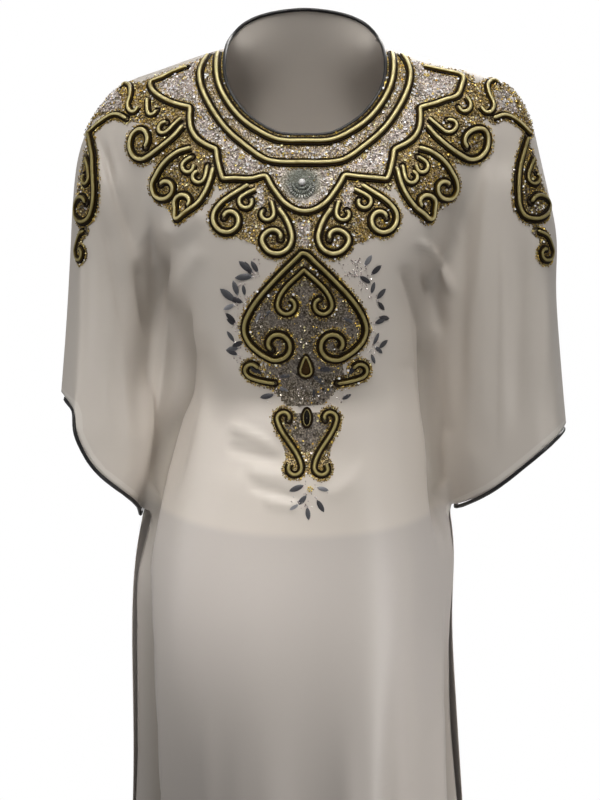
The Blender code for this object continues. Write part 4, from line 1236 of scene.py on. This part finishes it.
# Small silver patches, as pixels of the photograph.
CAP_PATCH = [(101, 98), (110, 90), (120, 93), (122, 103), (122, 111), (98, 112)]
SILVER_GAPS = [
    [(296, 222), (309, 222), (310.5, 236), (307, 247), (298, 247), (294.5, 236)],
    [(251, 188), (262, 189), (264, 200), (262, 210), (257, 209), (252, 199)],
    [(344, 188), (354, 187), (353, 199), (350, 209), (345, 208), (343, 199)],
]
# Pixels on the right and left sides of the dress add up to this, and the grey part of
# the tail ends at this pixel row.
MIRROR_PX = 615
TAIL_GREY_TO = 452
print("hook groups on each side:", len(HOOK_GROUPS))

# %% The nearest cord
front_cords = [n for n in CORD_LINES if n != "back_neck_cord"]
cord_points = np.vstack([CORD_LINES[n][0] for n in front_cords])
cord_halves = np.concatenate([np.full(len(CORD_LINES[n][0]), CORD_LINES[n][2]) for n in front_cords])
on_steps = np.concatenate([
    np.full(len(CORD_LINES[n][0]), n == "stepped_cord") for n in front_cords
])
cord_tree = KDTree(len(cord_points))
for index, point in enumerate(cord_points):
    cord_tree.insert(point, index)
cord_tree.balance()


def cord_gaps(points):
    """Each point's distance from the nearest cord's middle, and that cord's index."""
    found = [cord_tree.find(point) for point in points]
    return np.array([f[2] for f in found]), np.array([f[1] for f in found])


def hook_outline(side, group):
    """The outline of a group of hooks, closed against the cord that they hang from."""
    lines = [CORD_LINES[f"{side}_{name}"][0][:, [0, 2]] for name in group]
    edge = CORD_LINES["stepped_cord"][0][:, [0, 2]]
    ends = [edge[np.linalg.norm(edge - line[0], axis=1).argmin()] for line in lines]
    ends = [end for end, line in zip(ends, lines) if np.linalg.norm(end - line[0]) < TO_EDGE]
    return hull(np.vstack([*lines, *[[end] for end in ends]]))


HOOK_HULLS = [hook_outline(side, group) for group in HOOK_GROUPS for side in ("right", "left")]
print("hook outlines:", len(HOOK_HULLS), "cord points:", len(cord_points))

# %% Which field a point is in
NEAR_CORD = 0.0064
# Between the hooks and the stepped cord, a strip of this breadth is beaded too.
STRIP_BELOW_STEPS = 0.0140


def fields(points):
    """For points on the front: whether each is silver, bronze and grey ground, and its cord."""
    flat = points[:, [0, 2]]
    gap, nearest = cord_gaps(points)
    silver = inside(flat, NECK_BAND) | inside(flat, YOKE_FIELD)
    hooks = np.zeros(len(points), bool)
    for outline in HOOK_HULLS:
        hooks |= inside(flat, outline)
    bronze = (gap < NEAR_CORD) | (hooks & (gap < HULL_REACH))
    bronze |= on_steps[nearest] & (gap < STRIP_BELOW_STEPS)
    bronze |= inside(flat, TAIL_HULL) | inside(flat, BREAST_GAP)
    seen_at = pixels_of(points)
    mirrored = np.stack([MIRROR_PX - seen_at[:, 0], seen_at[:, 1]], axis=1)
    caps = inside(seen_at, SHOULDER_CAP) | inside(mirrored, SHOULDER_CAP)
    upper_tail = inside(flat, TAIL_HULL) & (seen_at[:, 1] < TAIL_GREY_TO)
    grey = inside(flat, HEART_FIELD) | inside(flat, BELOW_HEART) | upper_tail
    patches = inside(seen_at, CAP_PATCH) | inside(mirrored, CAP_PATCH)
    for outline in SILVER_GAPS:
        patches |= inside(seen_at, outline)
    for outline in PAD_OUTLINES:
        gap = np.where(inside(flat, outline), 0.0, gap)
    return silver | patches, (bronze | caps) & ~upper_tail | (gap < NEAR_CORD), grey, gap, nearest


# %% The ground's faces
GROUND_LIFT = 0.00030
GROUND_SPLITS = 1
GROUND_REACH = 0.012


def front_region(reach):
    """The front skin's faces within reach of a cord or inside a field, finely split."""
    mesh = bmesh.new()
    mesh.from_mesh(FRONT_SKIN)
    centres = np.array([list(face.calc_center_median()) for face in mesh.faces])
    silver, bronze, grey, gap, _ = fields(centres)
    kept = silver | bronze | grey | (gap < reach)
    gone = [face for face, stays in zip(mesh.faces, kept) if not stays]
    bmesh.ops.delete(mesh, geom=gone, context="FACES")
    bmesh.ops.subdivide_edges(mesh, edges=mesh.edges, cuts=GROUND_SPLITS, use_grid_fill=True)
    return mesh


region = front_region(GROUND_REACH)
centres = np.array([list(face.calc_center_median()) for face in region.faces])
silver, bronze, grey, gap, _ = fields(centres)
gone = [face for face, stays in zip(region.faces, silver | bronze | grey) if not stays]
bmesh.ops.delete(region, geom=gone, context="FACES")
bmesh.ops.triangulate(region, faces=region.faces)
ground_mesh = finished(region, "ground")
ground_points = places(ground_mesh)
ground_up = on_cloth(ground_points, FRONT_TREE)[1]
silver, bronze, grey, gap, _ = fields(ground_points)
put_places(ground_mesh, ground_points + ground_up * GROUND_LIFT)
print("ground faces:", len(ground_mesh.polygons))

# %% What the ground keeps
PEARL_AT = (302, 183)
SMOKE_REACH = 0.024
# How far painted shade darkens the ground.
PAINTED_SHADE_SHARE = 0.75
SLEEVE_SIDES = [
    np.array([(60, 125), (106, 125), (106, 262), (60, 262)]),
    np.array([(505, 128), (560, 128), (560, 262), (505, 262)]),
]
band = inside(ground_points[:, [0, 2]], NECK_BAND)
bronze_share = np.where(silver, 0.15 + 0.45 * band, np.where(grey & (gap > NEAR_CORD), 0.3, 1.0))
pearl_place = np.array(cloth_at(*PEARL_AT, FRONT_TREE)[0])
smoke = 1 - eased(np.linalg.norm(ground_points - pearl_place, axis=1) / SMOKE_REACH * 2 - 1)
ground_pixels = pixels_of(ground_points)
# Painted shade: the ground is darkened on the heart's grey field and on the sleeves' sides.
dim = grey | inside(ground_pixels, SLEEVE_SIDES[0]) | inside(ground_pixels, SLEEVE_SIDES[1])
keep(ground_mesh, "bronze", bronze_share)
keep(ground_mesh, "smoke", smoke * silver)
keep(ground_mesh, "dim", dim * PAINTED_SHADE_SHARE)
ground_mesh.shade_smooth()
print("silver share of the ground:", round(float(np.mean(silver)), 2))


# %% The ground's finish
def beadwork_ground():
    ground = Finish("beadwork ground")
    bronze = ground.kept("bronze")
    grain = ground.noise(0.0016, 1.0)
    patch = ground.between(ground.noise(0.020, 2.0), 0.44, 0.58)
    silver = ground.blend(patch, shade(206, 194, 186), shade(130, 122, 104))
    silver = ground.blend(ground.kept("smoke"), silver, shade(84, 88, 78))
    brown = ground.blend(patch, shade(56, 44, 20), shade(104, 84, 46))
    colour = ground.blend(bronze, silver, brown)
    pale = ground.blend(bronze, shade(246, 236, 226), shade(218, 194, 142))
    dim = ground.kept("dim")
    pale = ground.blend(ground.kept("smoke"), pale, shade(124, 128, 118))
    # Painted shade: both colours of the ground are darkened by the kept dim share.
    colour = ground.blend(dim, colour, shade(30, 22, 10))
    pale = ground.blend(dim, pale, shade(104, 92, 76))
    ground.set(
        Base_Color=ground.blend(ground.between(grain, 0.44, 0.66), colour, pale),
        Roughness=0.38 + grain * 0.3,
        Metallic=0.25,
        Normal=ground.raised(grain, 0.0006, 0.8),
    )
    return ground.material


add_piece("beadwork_ground", ground_mesh, beadwork_ground())
print("the ground lies", GROUND_LIFT * 1000, "mm above the cloth")

# %% [markdown]
# ## Beads and sequins
# Thousands of beads are one mesh, not thousands of objects. A twenty-sided ball is
# copied to each place with its own size and turn, and keeps a tint, so that no two
# neighbours shine alike. Places are drawn at random on the ground, with a fixed seed, so
# that every run gives the same dress. A place is dropped when it comes too near a bead
# that is already there, or lies on a cord.

# %% A ball, a cup and copies of them
SEED = 20240518
CHANCE = np.random.default_rng(SEED)


def ball():
    build = bmesh.new()
    bmesh.ops.create_icosphere(build, subdivisions=1, radius=1.0)
    points = np.array([list(v.co) for v in build.verts])
    faces = np.array([[v.index for v in f.verts] for f in build.faces])
    build.free()
    return points, faces


def cup(sides=8, depth=0.35):
    """A sequin: a shallow cup with its rim round the edge."""
    angle = np.linspace(0, 2 * math.pi, sides, endpoint=False)
    rim = np.stack([np.cos(angle), np.sin(angle), np.full(sides, depth)], axis=1)
    points = np.vstack([[(0, 0, 0)], rim])
    faces = np.array([[0, 1 + i, 1 + (i + 1) % sides] for i in range(sides)])
    return points, faces


def turned(up, tilt, count, heading=None):
    """Turns that lay things on the cloth, tilted at random, along a heading or spun freely."""
    lean = up + CHANCE.normal(0, tilt, (count, 3))
    if heading is not None:
        second = np.cross(lean, heading)
        second /= np.linalg.norm(second, axis=1, keepdims=True)
        lean /= np.linalg.norm(lean, axis=1, keepdims=True)
        return np.stack([np.cross(second, lean), second, lean], axis=2)
    spin = CHANCE.uniform(0, 2 * math.pi, count)
    lean /= np.linalg.norm(lean, axis=1, keepdims=True)
    side = np.cross(lean, [0.31, 0.23, 0.92])
    side /= np.linalg.norm(side, axis=1, keepdims=True)
    other = np.cross(lean, side)
    first = side * np.cos(spin)[:, None] + other * np.sin(spin)[:, None]
    second = np.cross(lean, first)
    return np.stack([first, second, lean], axis=2)


def copies(shape, where, up, sizes, tints, tilt=0.2, stretch=(1, 1, 1), heading=None):
    """Parts of a joined mesh: the shape copied to every place."""
    points, faces = shape
    count = len(where)
    turns = turned(up, tilt, count, heading)
    scaled = points[None] * np.asarray(stretch) * np.asarray(sizes)[:, None, None]
    placed = np.einsum("nij,nkj->nki", turns, scaled) + where[:, None, :]
    joined = faces[None] + (np.arange(count) * len(points))[:, None, None]
    return placed.reshape(-1, 3), joined.reshape(-1, 3), {"tint": np.repeat(tints, len(points))}


def add_trim(name, parts, finish, count):
    """One piece with flat faces, made of all its copies."""
    mesh = joined_mesh(name, parts)
    mesh.shade_flat()
    add_piece(name, mesh, finish)
    print(name, count)


# %% Room between the beads
class Crowd:
    """Places already taken, in a grid of cells, so that neighbours are found quickly."""

    def __init__(self, cell):
        self.cell = cell
        self.taken = {}

    def is_free(self, point, gap):
        home = tuple((point // self.cell).astype(int))
        for dx in (-1, 0, 1):
            for dy in (-1, 0, 1):
                for dz in (-1, 0, 1):
                    for other in self.taken.get((home[0] + dx, home[1] + dy, home[2] + dz), ()):
                        if ((point - other) ** 2).sum() < gap * gap:
                            return False
        return True

    def take(self, point):
        self.taken.setdefault(tuple((point // self.cell).astype(int)), []).append(point)


def random_places(mesh, count):
    """Places spread evenly over a mesh of triangles."""
    points = places(mesh)
    faces = np.array([list(face.vertices) for face in mesh.polygons])
    a, b, c = points[faces[:, 0]], points[faces[:, 1]], points[faces[:, 2]]
    area = np.linalg.norm(np.cross(b - a, c - a), axis=1)
    chosen = CHANCE.choice(len(faces), count, p=area / area.sum())
    u, v = CHANCE.uniform(0, 1, (2, count))
    over = u + v > 1
    u, v = np.where(over, 1 - u, u), np.where(over, 1 - v, v)
    return a[chosen] + (b - a)[chosen] * u[:, None] + (c - a)[chosen] * v[:, None]


CELL = 0.0026
crowd = Crowd(CELL)


def chosen_places(candidates, allowed, gap):
    """The allowed candidates that keep this gap from every bead before them."""
    found = []
    for point, fits in zip(candidates, allowed):
        if fits and crowd.is_free(point, gap):
            crowd.take(point)
            found.append(point)
    return np.array(found).reshape(-1, 3)


print("beads are kept apart in cells of", CELL, "m, with seed", SEED)

# %% Rows of beads along the cords
ROW_STEP = 0.0018
ROW_BEAD = 0.00085
row_places = []
for name, (line, up, half, tree) in CORD_LINES.items():
    across, _ = frames_along(line, up)
    for side in (-1, 1):
        for row, spread in ((0, 0.0002), (1, 0.0005)):
            distance = half + ROW_BEAD * (0.6 + 1.9 * row)
            beaded_line = evenly(line + across * side * distance, ROW_STEP * (1 + 0.25 * row))
            jitter = CHANCE.normal(0, spread, beaded_line.shape)
            moved, _ = on_cloth(beaded_line + jitter, tree)
            if name == "back_neck_cord":
                row_places.append(moved)
                continue
            gap, nearest = cord_gaps(moved)
            clear = gap > cord_halves[nearest] + ROW_BEAD * 0.2
            row_places.append(chosen_places(moved, clear, ROW_BEAD * 1.7))
row_places = np.vstack(row_places)
backs = row_places[:, 1] > 0
row_up = np.where(
    backs[:, None], on_cloth(row_places, BACK_TREE)[1], on_cloth(row_places, FRONT_TREE)[1]
)
row_tints = CHANCE.beta(1.3, 1.9, len(row_places))
row_sizes = ROW_BEAD * CHANCE.uniform(0.8, 1.15, len(row_places))
row_parts = [copies(ball(), row_places + row_up * ROW_BEAD * 0.8, row_up, row_sizes, row_tints)]
add_trim("bead_rows", row_parts, GOLD_BEADS, len(row_places))

# %% Places on the fields
FILL_BEAD = 0.00085
SEQUIN = 0.00140
SEQUIN_LIFT = 0.0011
PLACES_TRIED = 42000
candidates = random_places(ground_mesh, PLACES_TRIED)
silver, bronze, grey, gap, nearest = fields(candidates)
clear = gap > cord_halves[nearest] + FILL_BEAD * 0.6
roomy = gap > cord_halves[nearest] + SEQUIN * 0.8
smoky = np.linalg.norm(candidates - pearl_place, axis=1) < SMOKE_REACH * 0.9
sown = CHANCE.uniform(0, 1, len(candidates)) < 0.30
print("places clear of the cords:", int(clear.sum()), "of", PLACES_TRIED)


# %% Sequins that fill the fields
def add_sequins(name, where, finish, low, high, tilt, skew=(1.0, 1.0)):
    """Cup sequins at these places, each tilted its own way."""
    up = on_cloth(where, FRONT_TREE)[1]
    sizes = CHANCE.uniform(low, high, len(where))
    tints = CHANCE.beta(*skew, len(where))
    parts = [copies(cup(), where + up * SEQUIN_LIFT, up, sizes, tints, tilt)]
    add_trim(name, parts, finish, len(where))


for name, allowed, finish, spacing in (
    ("silver_sequins", silver & ~smoky, SILVER_BEADS, 0.0030),
    ("bronze_sequins", bronze & ~silver, GOLD_BEADS, 0.0028),
    ("heart_sequins", grey & ~silver & ~bronze, SMOKY_BEADS, 0.0044),
):
    where = chosen_places(candidates, roomy & allowed & sown, spacing)
    add_sequins(name, where, finish, SEQUIN * 0.8, SEQUIN * 1.15, 0.32, (1.3, 1.2))

# %% Beads that fill the fields
thinned = CHANCE.uniform(0, 1, len(candidates)) < np.where(smoky, 0.03, 1.0)
silver_places = chosen_places(candidates, clear & silver & thinned, 0.00185)
bronze_places = chosen_places(candidates, clear & bronze & ~silver, 0.0020)
grey_places = chosen_places(candidates, clear & grey & ~silver & ~bronze, 0.0040)


def add_fill(name, where, finish, low, high, skew):
    """Round beads at these places, with radii from low to high."""
    up = on_cloth(where, FRONT_TREE)[1]
    tints = CHANCE.beta(*skew, len(where))
    sizes = CHANCE.uniform(low, high, len(where))
    parts = [copies(ball(), where + up * sizes[:, None] * 0.6, up, sizes, tints)]
    add_trim(name, parts, finish, len(where))


GOLD_IN_BAND, GOLD_IN_YOKE, SILVER_IN_HOOKS = 0.38, 0.14, 0.42
in_band = inside(silver_places[:, [0, 2]], NECK_BAND)
gold_share = np.where(in_band, GOLD_IN_BAND, GOLD_IN_YOKE)
mixed = CHANCE.uniform(0, 1, len(silver_places)) < gold_share
add_fill("silver_fill", silver_places[~mixed], SILVER_BEADS, 0.0006, 0.0010, (1.4, 1.3))
add_fill("gold_specks", silver_places[mixed], GOLD_BEADS, 0.0006, 0.0009, (1.6, 1.2))
light = CHANCE.uniform(0, 1, len(bronze_places)) < SILVER_IN_HOOKS
add_fill("bronze_fill", bronze_places[~light], GOLD_BEADS, 0.0006, 0.0010, (1.2, 1.8))
add_fill("bronze_silver", bronze_places[light], SILVER_BEADS, 0.0006, 0.0010, (1.6, 1.2))
add_fill("heart_fill", grey_places, SMOKY_BEADS, 0.0005, 0.0009, (1.1, 1.6))

# %% [markdown]
# ## Glints
# A few larger sequins catch the light much more than the beads round them. They are
# shallow cups that lie at odd tilts, pale on the silver fields and golden between the
# hooks. Their near-white and bright gold colours are painted glints.

# %% Sequins that glint
GLINT_TILT = 0.45
# Colours near white: painted glints.
PALE_GLINT_SEQUINS = beaded(
    "pale sequins with painted glints", shade(236, 230, 232), shade(248, 246, 246), shade(255, 255, 255), 0.1, 0.15
)
# Bright gold: painted glints for the glint sequins, and the flowers' own gold.
GOLD_SEQUINS_AND_GLINTS = beaded(
    "golden sequins and painted glints", shade(214, 170, 60), shade(246, 214, 104), shade(255, 246, 190), 0.25, 0.15
)


def some_of(allowed, count):
    """At most this many of the allowed places."""
    where = candidates[allowed]
    return where[CHANCE.permutation(len(where))[:count]]


open_ground = gap > cord_halves[nearest] + 0.0004
# Painted glints: these sequins' near-white and bright gold colours stand in for their shine.
for name, allowed, count, finish, low, high in (
    ("pale_glints", silver & ~smoky, 380, PALE_GLINT_SEQUINS, 0.0009, 0.0016),
    ("pale_hook_glints", bronze & ~silver, 360, PALE_GLINT_SEQUINS, 0.0008, 0.0014),
    ("golden_glints", (bronze | silver) & ~smoky, 380, GOLD_SEQUINS_AND_GLINTS, 0.0008, 0.0014),
    ("heart_glints", grey & ~silver, 70, GOLD_SEQUINS_AND_GLINTS, 0.0007, 0.0012),
):
    add_sequins(name, some_of(open_ground & allowed, count), finish, low, high, GLINT_TILT)

# %% [markdown]
# ## Padded drop and oval
# Two small shapes are padded: a drop below the hearts and an oval between the tail's
# scrolls. Each has a low dome, a gold outline and a dark border. The solid's own outline
# gives the shape, so they stay where it is.

# %% Pads
PAD_RINGS, PAD_SIDES, PAD_POINTS = 6, 8, 40
PAD_HEIGHT, PAD_LIFT = 0.0017, 0.0004
PAD_RIM, PAD_BORDER = 0.0014, 0.0013


def closed_loop(outline, count):
    """The outline as an even closed loop, with its first point kept."""
    ring = np.vstack([outline, outline[:1]])
    length = run_along(ring)
    return read_off(ring, length, np.linspace(0, length[-1], count, endpoint=False))


def add_pad(node, finish, rim):
    """A dome on the solid's outline, with a gold rim of this radius and a dark border."""
    outline = closed_loop(solid_outline(node), PAD_POINTS)
    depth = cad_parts[node].data.vertices[0].co.y
    loop = np.stack([outline[:, 0], np.full(len(outline), depth), outline[:, 1]], axis=1)
    middle = loop.mean(axis=0)
    rings, faces, count = [], [], len(loop)
    for k in range(PAD_RINGS + 1):
        share = 1 - k / (PAD_RINGS + 0.5)
        ring, up = on_cloth(middle + (loop - middle) * share * 0.9, FRONT_TREE)
        rings.append(ring + up * PAD_HEIGHT * (1 - share**2) ** 0.5)
    for k in range(PAD_RINGS):
        for i in range(count):
            j = (i + 1) % count
            faces.append([k * count + i, k * count + j, (k + 1) * count + j, (k + 1) * count + i])
    dome = joined_mesh(node, [(np.vstack(rings), np.array(faces), {})])
    piece = add_piece(f"padded_{node}", dome, finish)
    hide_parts(node)
    beside = loop - middle
    beside /= np.linalg.norm(beside, axis=1, keepdims=True)
    # The rim takes the darker gold, as painted shade.
    for name, inset, radius, look, slot in (
        ("rim", rim, rim, SHADED_GOLD_CORD, "gold_cord"),
        ("border", -PAD_BORDER * 0.8, PAD_BORDER, DARK_CORD, "dark_cord"),
    ):
        ring = loop - beside * inset
        ring = np.vstack([ring, ring[:2]])
        line, up = on_cloth(ring, FRONT_TREE, radius + PAD_LIFT)
        tube = joined_mesh(f"{node}_{name}", [tube_parts(line, up, radius, PAD_SIDES)])
        add_piece(f"{node}_{name}", tube, look)


BRONZE_PAD = wrapped(
    "bronze padded thread", shade(70, 50, 24), shade(150, 118, 58), shade(60, 44, 24), 0.4, 0.35
)
add_pad("pendant_drop", BRONZE_PAD, PAD_RIM)
add_pad("tail_oval", DARK_CORD, PAD_RIM / 2)
print("pads:", ", ".join(PADS))

# %% [markdown]
# ## Leaves, pearl and flowers
# Round the pendant, smoky leaf-shaped sequins stand off in sprigs. Each leaf is a thin
# pointed shape with a raised middle. A pearl in the yoke's lowest field throws out a fan
# of smoky bugle beads, and small golden flowers sit in the fields beside it. The rows
# give pixels of the photograph for the places, and the way each leaf points in degrees.

# %% Leaf sprigs
LEAF_COLUMNS = ("px", "py", "points", "length", "tint")
LEAVES = [
    (246, 267, 141, 15, 0.35),
    (254.6, 266.6, 122, 11, 0.30),
    (244, 277, 186, 15, 0.55),
    (235.6, 288, 110, 13, 0.55),
    (228, 295, 147, 17, 0.40),
    (229, 307, 204, 11, 0.90),
    (231, 322, 150, 9, 0.10),
    (231, 336.5, 130, 11, 0.45),
    (233, 348.5, 190, 11, 0.55),
    (266.5, 314, 40, 9, 0.35),
    (258, 317, 60, 8, 0.90),
    (267, 396, 193, 12, 0.25),
    (285, 376, 10, 9, 0.30),
    (248, 268, 118, 12, 0.10),
    (236, 300, 165, 13, 0.15),
    (231, 318, 140, 12, 0.05),
    (238, 344, 205, 12, 0.10),
    (232, 352, 172, 12, 0.20),
    (244, 290, 100, 9, 0.35),
    (376, 270, 40, 12, 0.15),
    (384, 318, -8, 12, 0.10),
    (383, 344, 20, 12, 0.15),
    (283, 389, -20, 9, 0.70),
    (368, 260.6, 55, 11, 0.80),
    (365, 279.6, -30, 11, 0.15),
    (372.7, 287.7, 75, 10, 0.45),
    (381, 293.7, 30, 13, 0.20),
    (381, 306, -33, 11, 0.05),
    (380, 321, 10, 12, 0.20),
    (376, 338.7, 60, 11, 0.45),
    (378.6, 350, -33, 10, 0.30),
    (373, 359, -62, 9, 0.40),
    (348, 320, -30, 9, 0.45),
    (324, 369, -8, 12, 0.20),
    (319, 380, -40, 12, 0.30),
    (346.6, 396.7, 25, 9, 0.15),
    (328, 390, 15, 8, 0.50),
    (314, 393, 90, 7, 0.15),
    (296.5, 488.2, 203, 13, 0.30),
    (302, 500.6, 233, 12, 0.55),
    (308, 513.5, 277, 11, 0.55),
    (320.5, 506, -61, 12, 0.20),
    (323, 489, -15, 10, 0.70),
    (294, 507, 215, 9, 0.95),
    (254.6, 369, -40, 15, 0.0),
    (352, 370, 55, 12, 0.0),
]
LEAF_SHAPE = (1.0, 0.36, 0.20)
LEAF_LIFT, LEAF_TILT = 0.0006, 0.06
# Metres for each pixel of length or reach in these rows.
PIXEL = 0.00125


def leaf():
    """A thin leaf, one unit from its middle to its tip, with a raised vein."""
    share = np.linspace(-1, 1, 7)
    half = (1 - share**2) ** 0.8
    edge = np.stack([share, half, np.zeros(7)], axis=1)
    vein = np.stack([share, np.zeros(7), half * 0.8], axis=1)
    points = np.vstack([edge, vein, edge * [1, -1, 1]])
    faces = []
    for row in (0, 7):
        for i in range(6):
            a, b, c, d = row + i, row + i + 1, row + i + 8, row + i + 7
            faces += [[a, d, c], [a, c, b]]
    return points, np.array(faces)


def heading_on(up, degrees):
    """The direction on the cloth that points this way as seen from the front."""
    angle = math.radians(degrees)
    flat = np.array([math.cos(angle), 0.0, math.sin(angle)])
    return flat - up * (flat @ up)


leaf_rows = [dict(zip(LEAF_COLUMNS, values)) for values in LEAVES]
leaf_spots = [cloth_at(row["px"], row["py"], FRONT_TREE) for row in leaf_rows]
leaf_where, leaf_up = (np.array([list(spot[k]) for spot in leaf_spots]) for k in (0, 1))
leaf_heading = np.array([heading_on(up, row["points"]) for up, row in zip(leaf_up, leaf_rows)])
leaf_half = np.array([row["length"] * PIXEL / 2 for row in leaf_rows])
leaf_tints = np.array([row["tint"] for row in leaf_rows])
leaf_parts = [
    copies(leaf(), leaf_where + leaf_up * LEAF_LIFT, leaf_up, leaf_half, leaf_tints, LEAF_TILT,
           LEAF_SHAPE, leaf_heading)
]
add_piece("leaf_sequins", joined_mesh("leaf_sequins", leaf_parts), LEAF_SEQUINS)
print("leaves:", len(LEAVES), "the longest", round(float(leaf_half.max()) * 2000, 1), "mm")

# %% Small beads round the leaves
SPRIG_SPREAD = 0.0018
BEADS_A_LEAF = 4
SPARKLE_COLUMNS = ("px", "py", "reach", "count")
SPARKLES = [
    (356, 265, 6.0, 46),
    (362, 283, 3.5, 16),
    (350, 274, 3.0, 10),
    (241, 283, 2.5, 6),
    (238, 312, 2.5, 7),
    (237, 330, 2.5, 9),
    (237, 357, 2.5, 9),
    (258, 262, 3.0, 8),
    (268, 391, 4.0, 9),
    (303, 392, 10.0, 26),
    (340, 393, 5.0, 10),
    (372, 330, 2.5, 8),
    (307, 504, 6.0, 16),
]
foot = leaf_where - leaf_heading * leaf_half[:, None] * 1.2
feet = np.repeat(foot, BEADS_A_LEAF, axis=0)
sprigs = [feet + CHANCE.normal(0, SPRIG_SPREAD, feet.shape)]
for values in SPARKLES:
    row = dict(zip(SPARKLE_COLUMNS, values))
    middle = np.array(cloth_at(row["px"], row["py"], FRONT_TREE)[0])
    sprigs.append(middle + CHANCE.normal(0, row["reach"] * PIXEL, (row["count"], 3)))
sprig_places = np.vstack(sprigs)
gap, nearest = cord_gaps(sprig_places)
sprig_places = on_cloth(sprig_places[gap > cord_halves[nearest]], FRONT_TREE)[0]
add_fill("sprig_beads", sprig_places, SILVER_BEADS, 0.0005, 0.0009, (1.5, 1.2))

# %% Pearl
PEARL_RADIUS = 0.0034
pearl_up = np.array(cloth_at(*PEARL_AT, FRONT_TREE)[1])
pearl_white = Finish("pearl")
pearl_white.set(
    Base_Color=pearl_white.blend(pearl_white.noise(0.002), shade(250, 246, 244), shade(255, 255, 252)),
    Roughness=0.18,
    Coat_Weight=0.6,
    Sheen_Weight=0.3,
)
build = bmesh.new()
bmesh.ops.create_icosphere(build, subdivisions=3, radius=PEARL_RADIUS)
pearl_mesh = finished(build, "pearl")
put_places(pearl_mesh, places(pearl_mesh) + pearl_place + pearl_up * PEARL_RADIUS * 0.8)
pearl_mesh.shade_smooth()
add_piece("pearl", pearl_mesh, pearl_white.material)
print("the pearl is", PEARL_RADIUS * 2000, "mm across")

# %% Fan of bugle beads
FAN_RAYS, FAN_FROM, FAN_TO = 19, -174, -6
FAN_START, FAN_SIDE, FAN_FOOT = 0.0046, 0.0125, 0.0190
BUGLES_A_RAY, BUGLE_POINTS, BUGLE_SIDES = 3, 5, 6
BUGLE_GAP, BUGLE_LIFT = 0.0005, 0.0016
BUGLE_RADIUS, BUGLE_GROWTH = 0.00055, 0.0001
fan_parts = []
for degrees in np.linspace(FAN_FROM, FAN_TO, FAN_RAYS):
    ahead = heading_on(pearl_up, degrees)
    reach = FAN_SIDE + (FAN_FOOT - FAN_SIDE) * abs(math.sin(math.radians(degrees)))
    stops = np.linspace(FAN_START, reach, BUGLES_A_RAY + 1)
    for k in range(BUGLES_A_RAY):
        run = np.linspace(stops[k], stops[k + 1] - BUGLE_GAP, BUGLE_POINTS)
        laid, up = on_cloth(pearl_place + ahead * run[:, None], FRONT_TREE, BUGLE_LIFT)
        points, faces, _ = tube_parts(laid, up, BUGLE_RADIUS + BUGLE_GROWTH * k, BUGLE_SIDES)
        tint = CHANCE.uniform(0.1, 0.5) + 0.2 * k
        fan_parts.append((points, faces, {"tint": np.full(len(points), tint)}))
BUGLES = beaded(
    "smoky bugle beads", shade(84, 86, 78), shade(142, 146, 138), shade(232, 230, 224), 0.3, 0.25
)
add_piece("bugle_fan", joined_mesh("bugle_fan", fan_parts), BUGLES)
print("bugle beads:", len(fan_parts))

# %% Golden flowers and the cluster below the tail
FLOWERS = [(242, 157), (185, 79), (426, 76), (400, 127), (364, 157), (211, 128), (104, 106),
           (510, 101)]
CLUSTER_AT = (310, 489)
PETALS, PETAL_REACH, FIRST_PETAL = 6, 0.0023, 12
FLOWER_MIDDLE, PETAL_RADIUS, FLOWER_LIFT = 0.0013, 0.0010, 0.0011
flower_where, flower_sizes, flower_tints = [], [], []
for px, py in FLOWERS + [CLUSTER_AT]:
    place, up = (np.array(v) for v in cloth_at(px, py, FRONT_TREE))
    flower_where.append(place)
    flower_sizes.append(FLOWER_MIDDLE)
    flower_tints.append(1.0)
    for k in range(PETALS):
        turn = 360 / PETALS * k + FIRST_PETAL
        flower_where.append(place + heading_on(up, turn) * PETAL_REACH)
        flower_sizes.append(PETAL_RADIUS)
        flower_tints.append(0.35 + 0.3 * (k % 2))
flower_where, flower_up = on_cloth(flower_where, FRONT_TREE, FLOWER_LIFT)
flower_mesh = joined_mesh(
    "flowers", [copies(ball(), flower_where, flower_up, flower_sizes, np.array(flower_tints))]
)
add_piece("golden_flowers", flower_mesh, GOLD_SEQUINS_AND_GLINTS)
print("flowers:", len(FLOWERS) + 1)

# %% [markdown]
# ## Floor
# A plain pale disc a little below the hem catches a soft shadow. It gives off a little
# light of its own, so that it stays as pale as the backdrop.

# %% Floor
FLOOR_Z = -1.46
FLOOR_RADIUS = 1.1
disc = bmesh.new()
bmesh.ops.create_circle(disc, cap_ends=True, radius=FLOOR_RADIUS, segments=96)
floor_mesh = finished(disc, "floor")
floor = bpy.data.objects.new("floor", floor_mesh)
floor.location = (0, 0, FLOOR_Z)
scene.collection.objects.link(floor)
pale = Finish("pale floor")
pale.set(
    Base_Color=pale.blend(pale.noise(0.3), shade(246, 245, 244), shade(250, 249, 248)),
    Roughness=0.7,
    Emission_Color=shade(250, 249, 248),
    Emission_Strength=0.36,
)
floor_mesh.materials.append(pale.material)
print("the floor lies at", FLOOR_Z, "m")
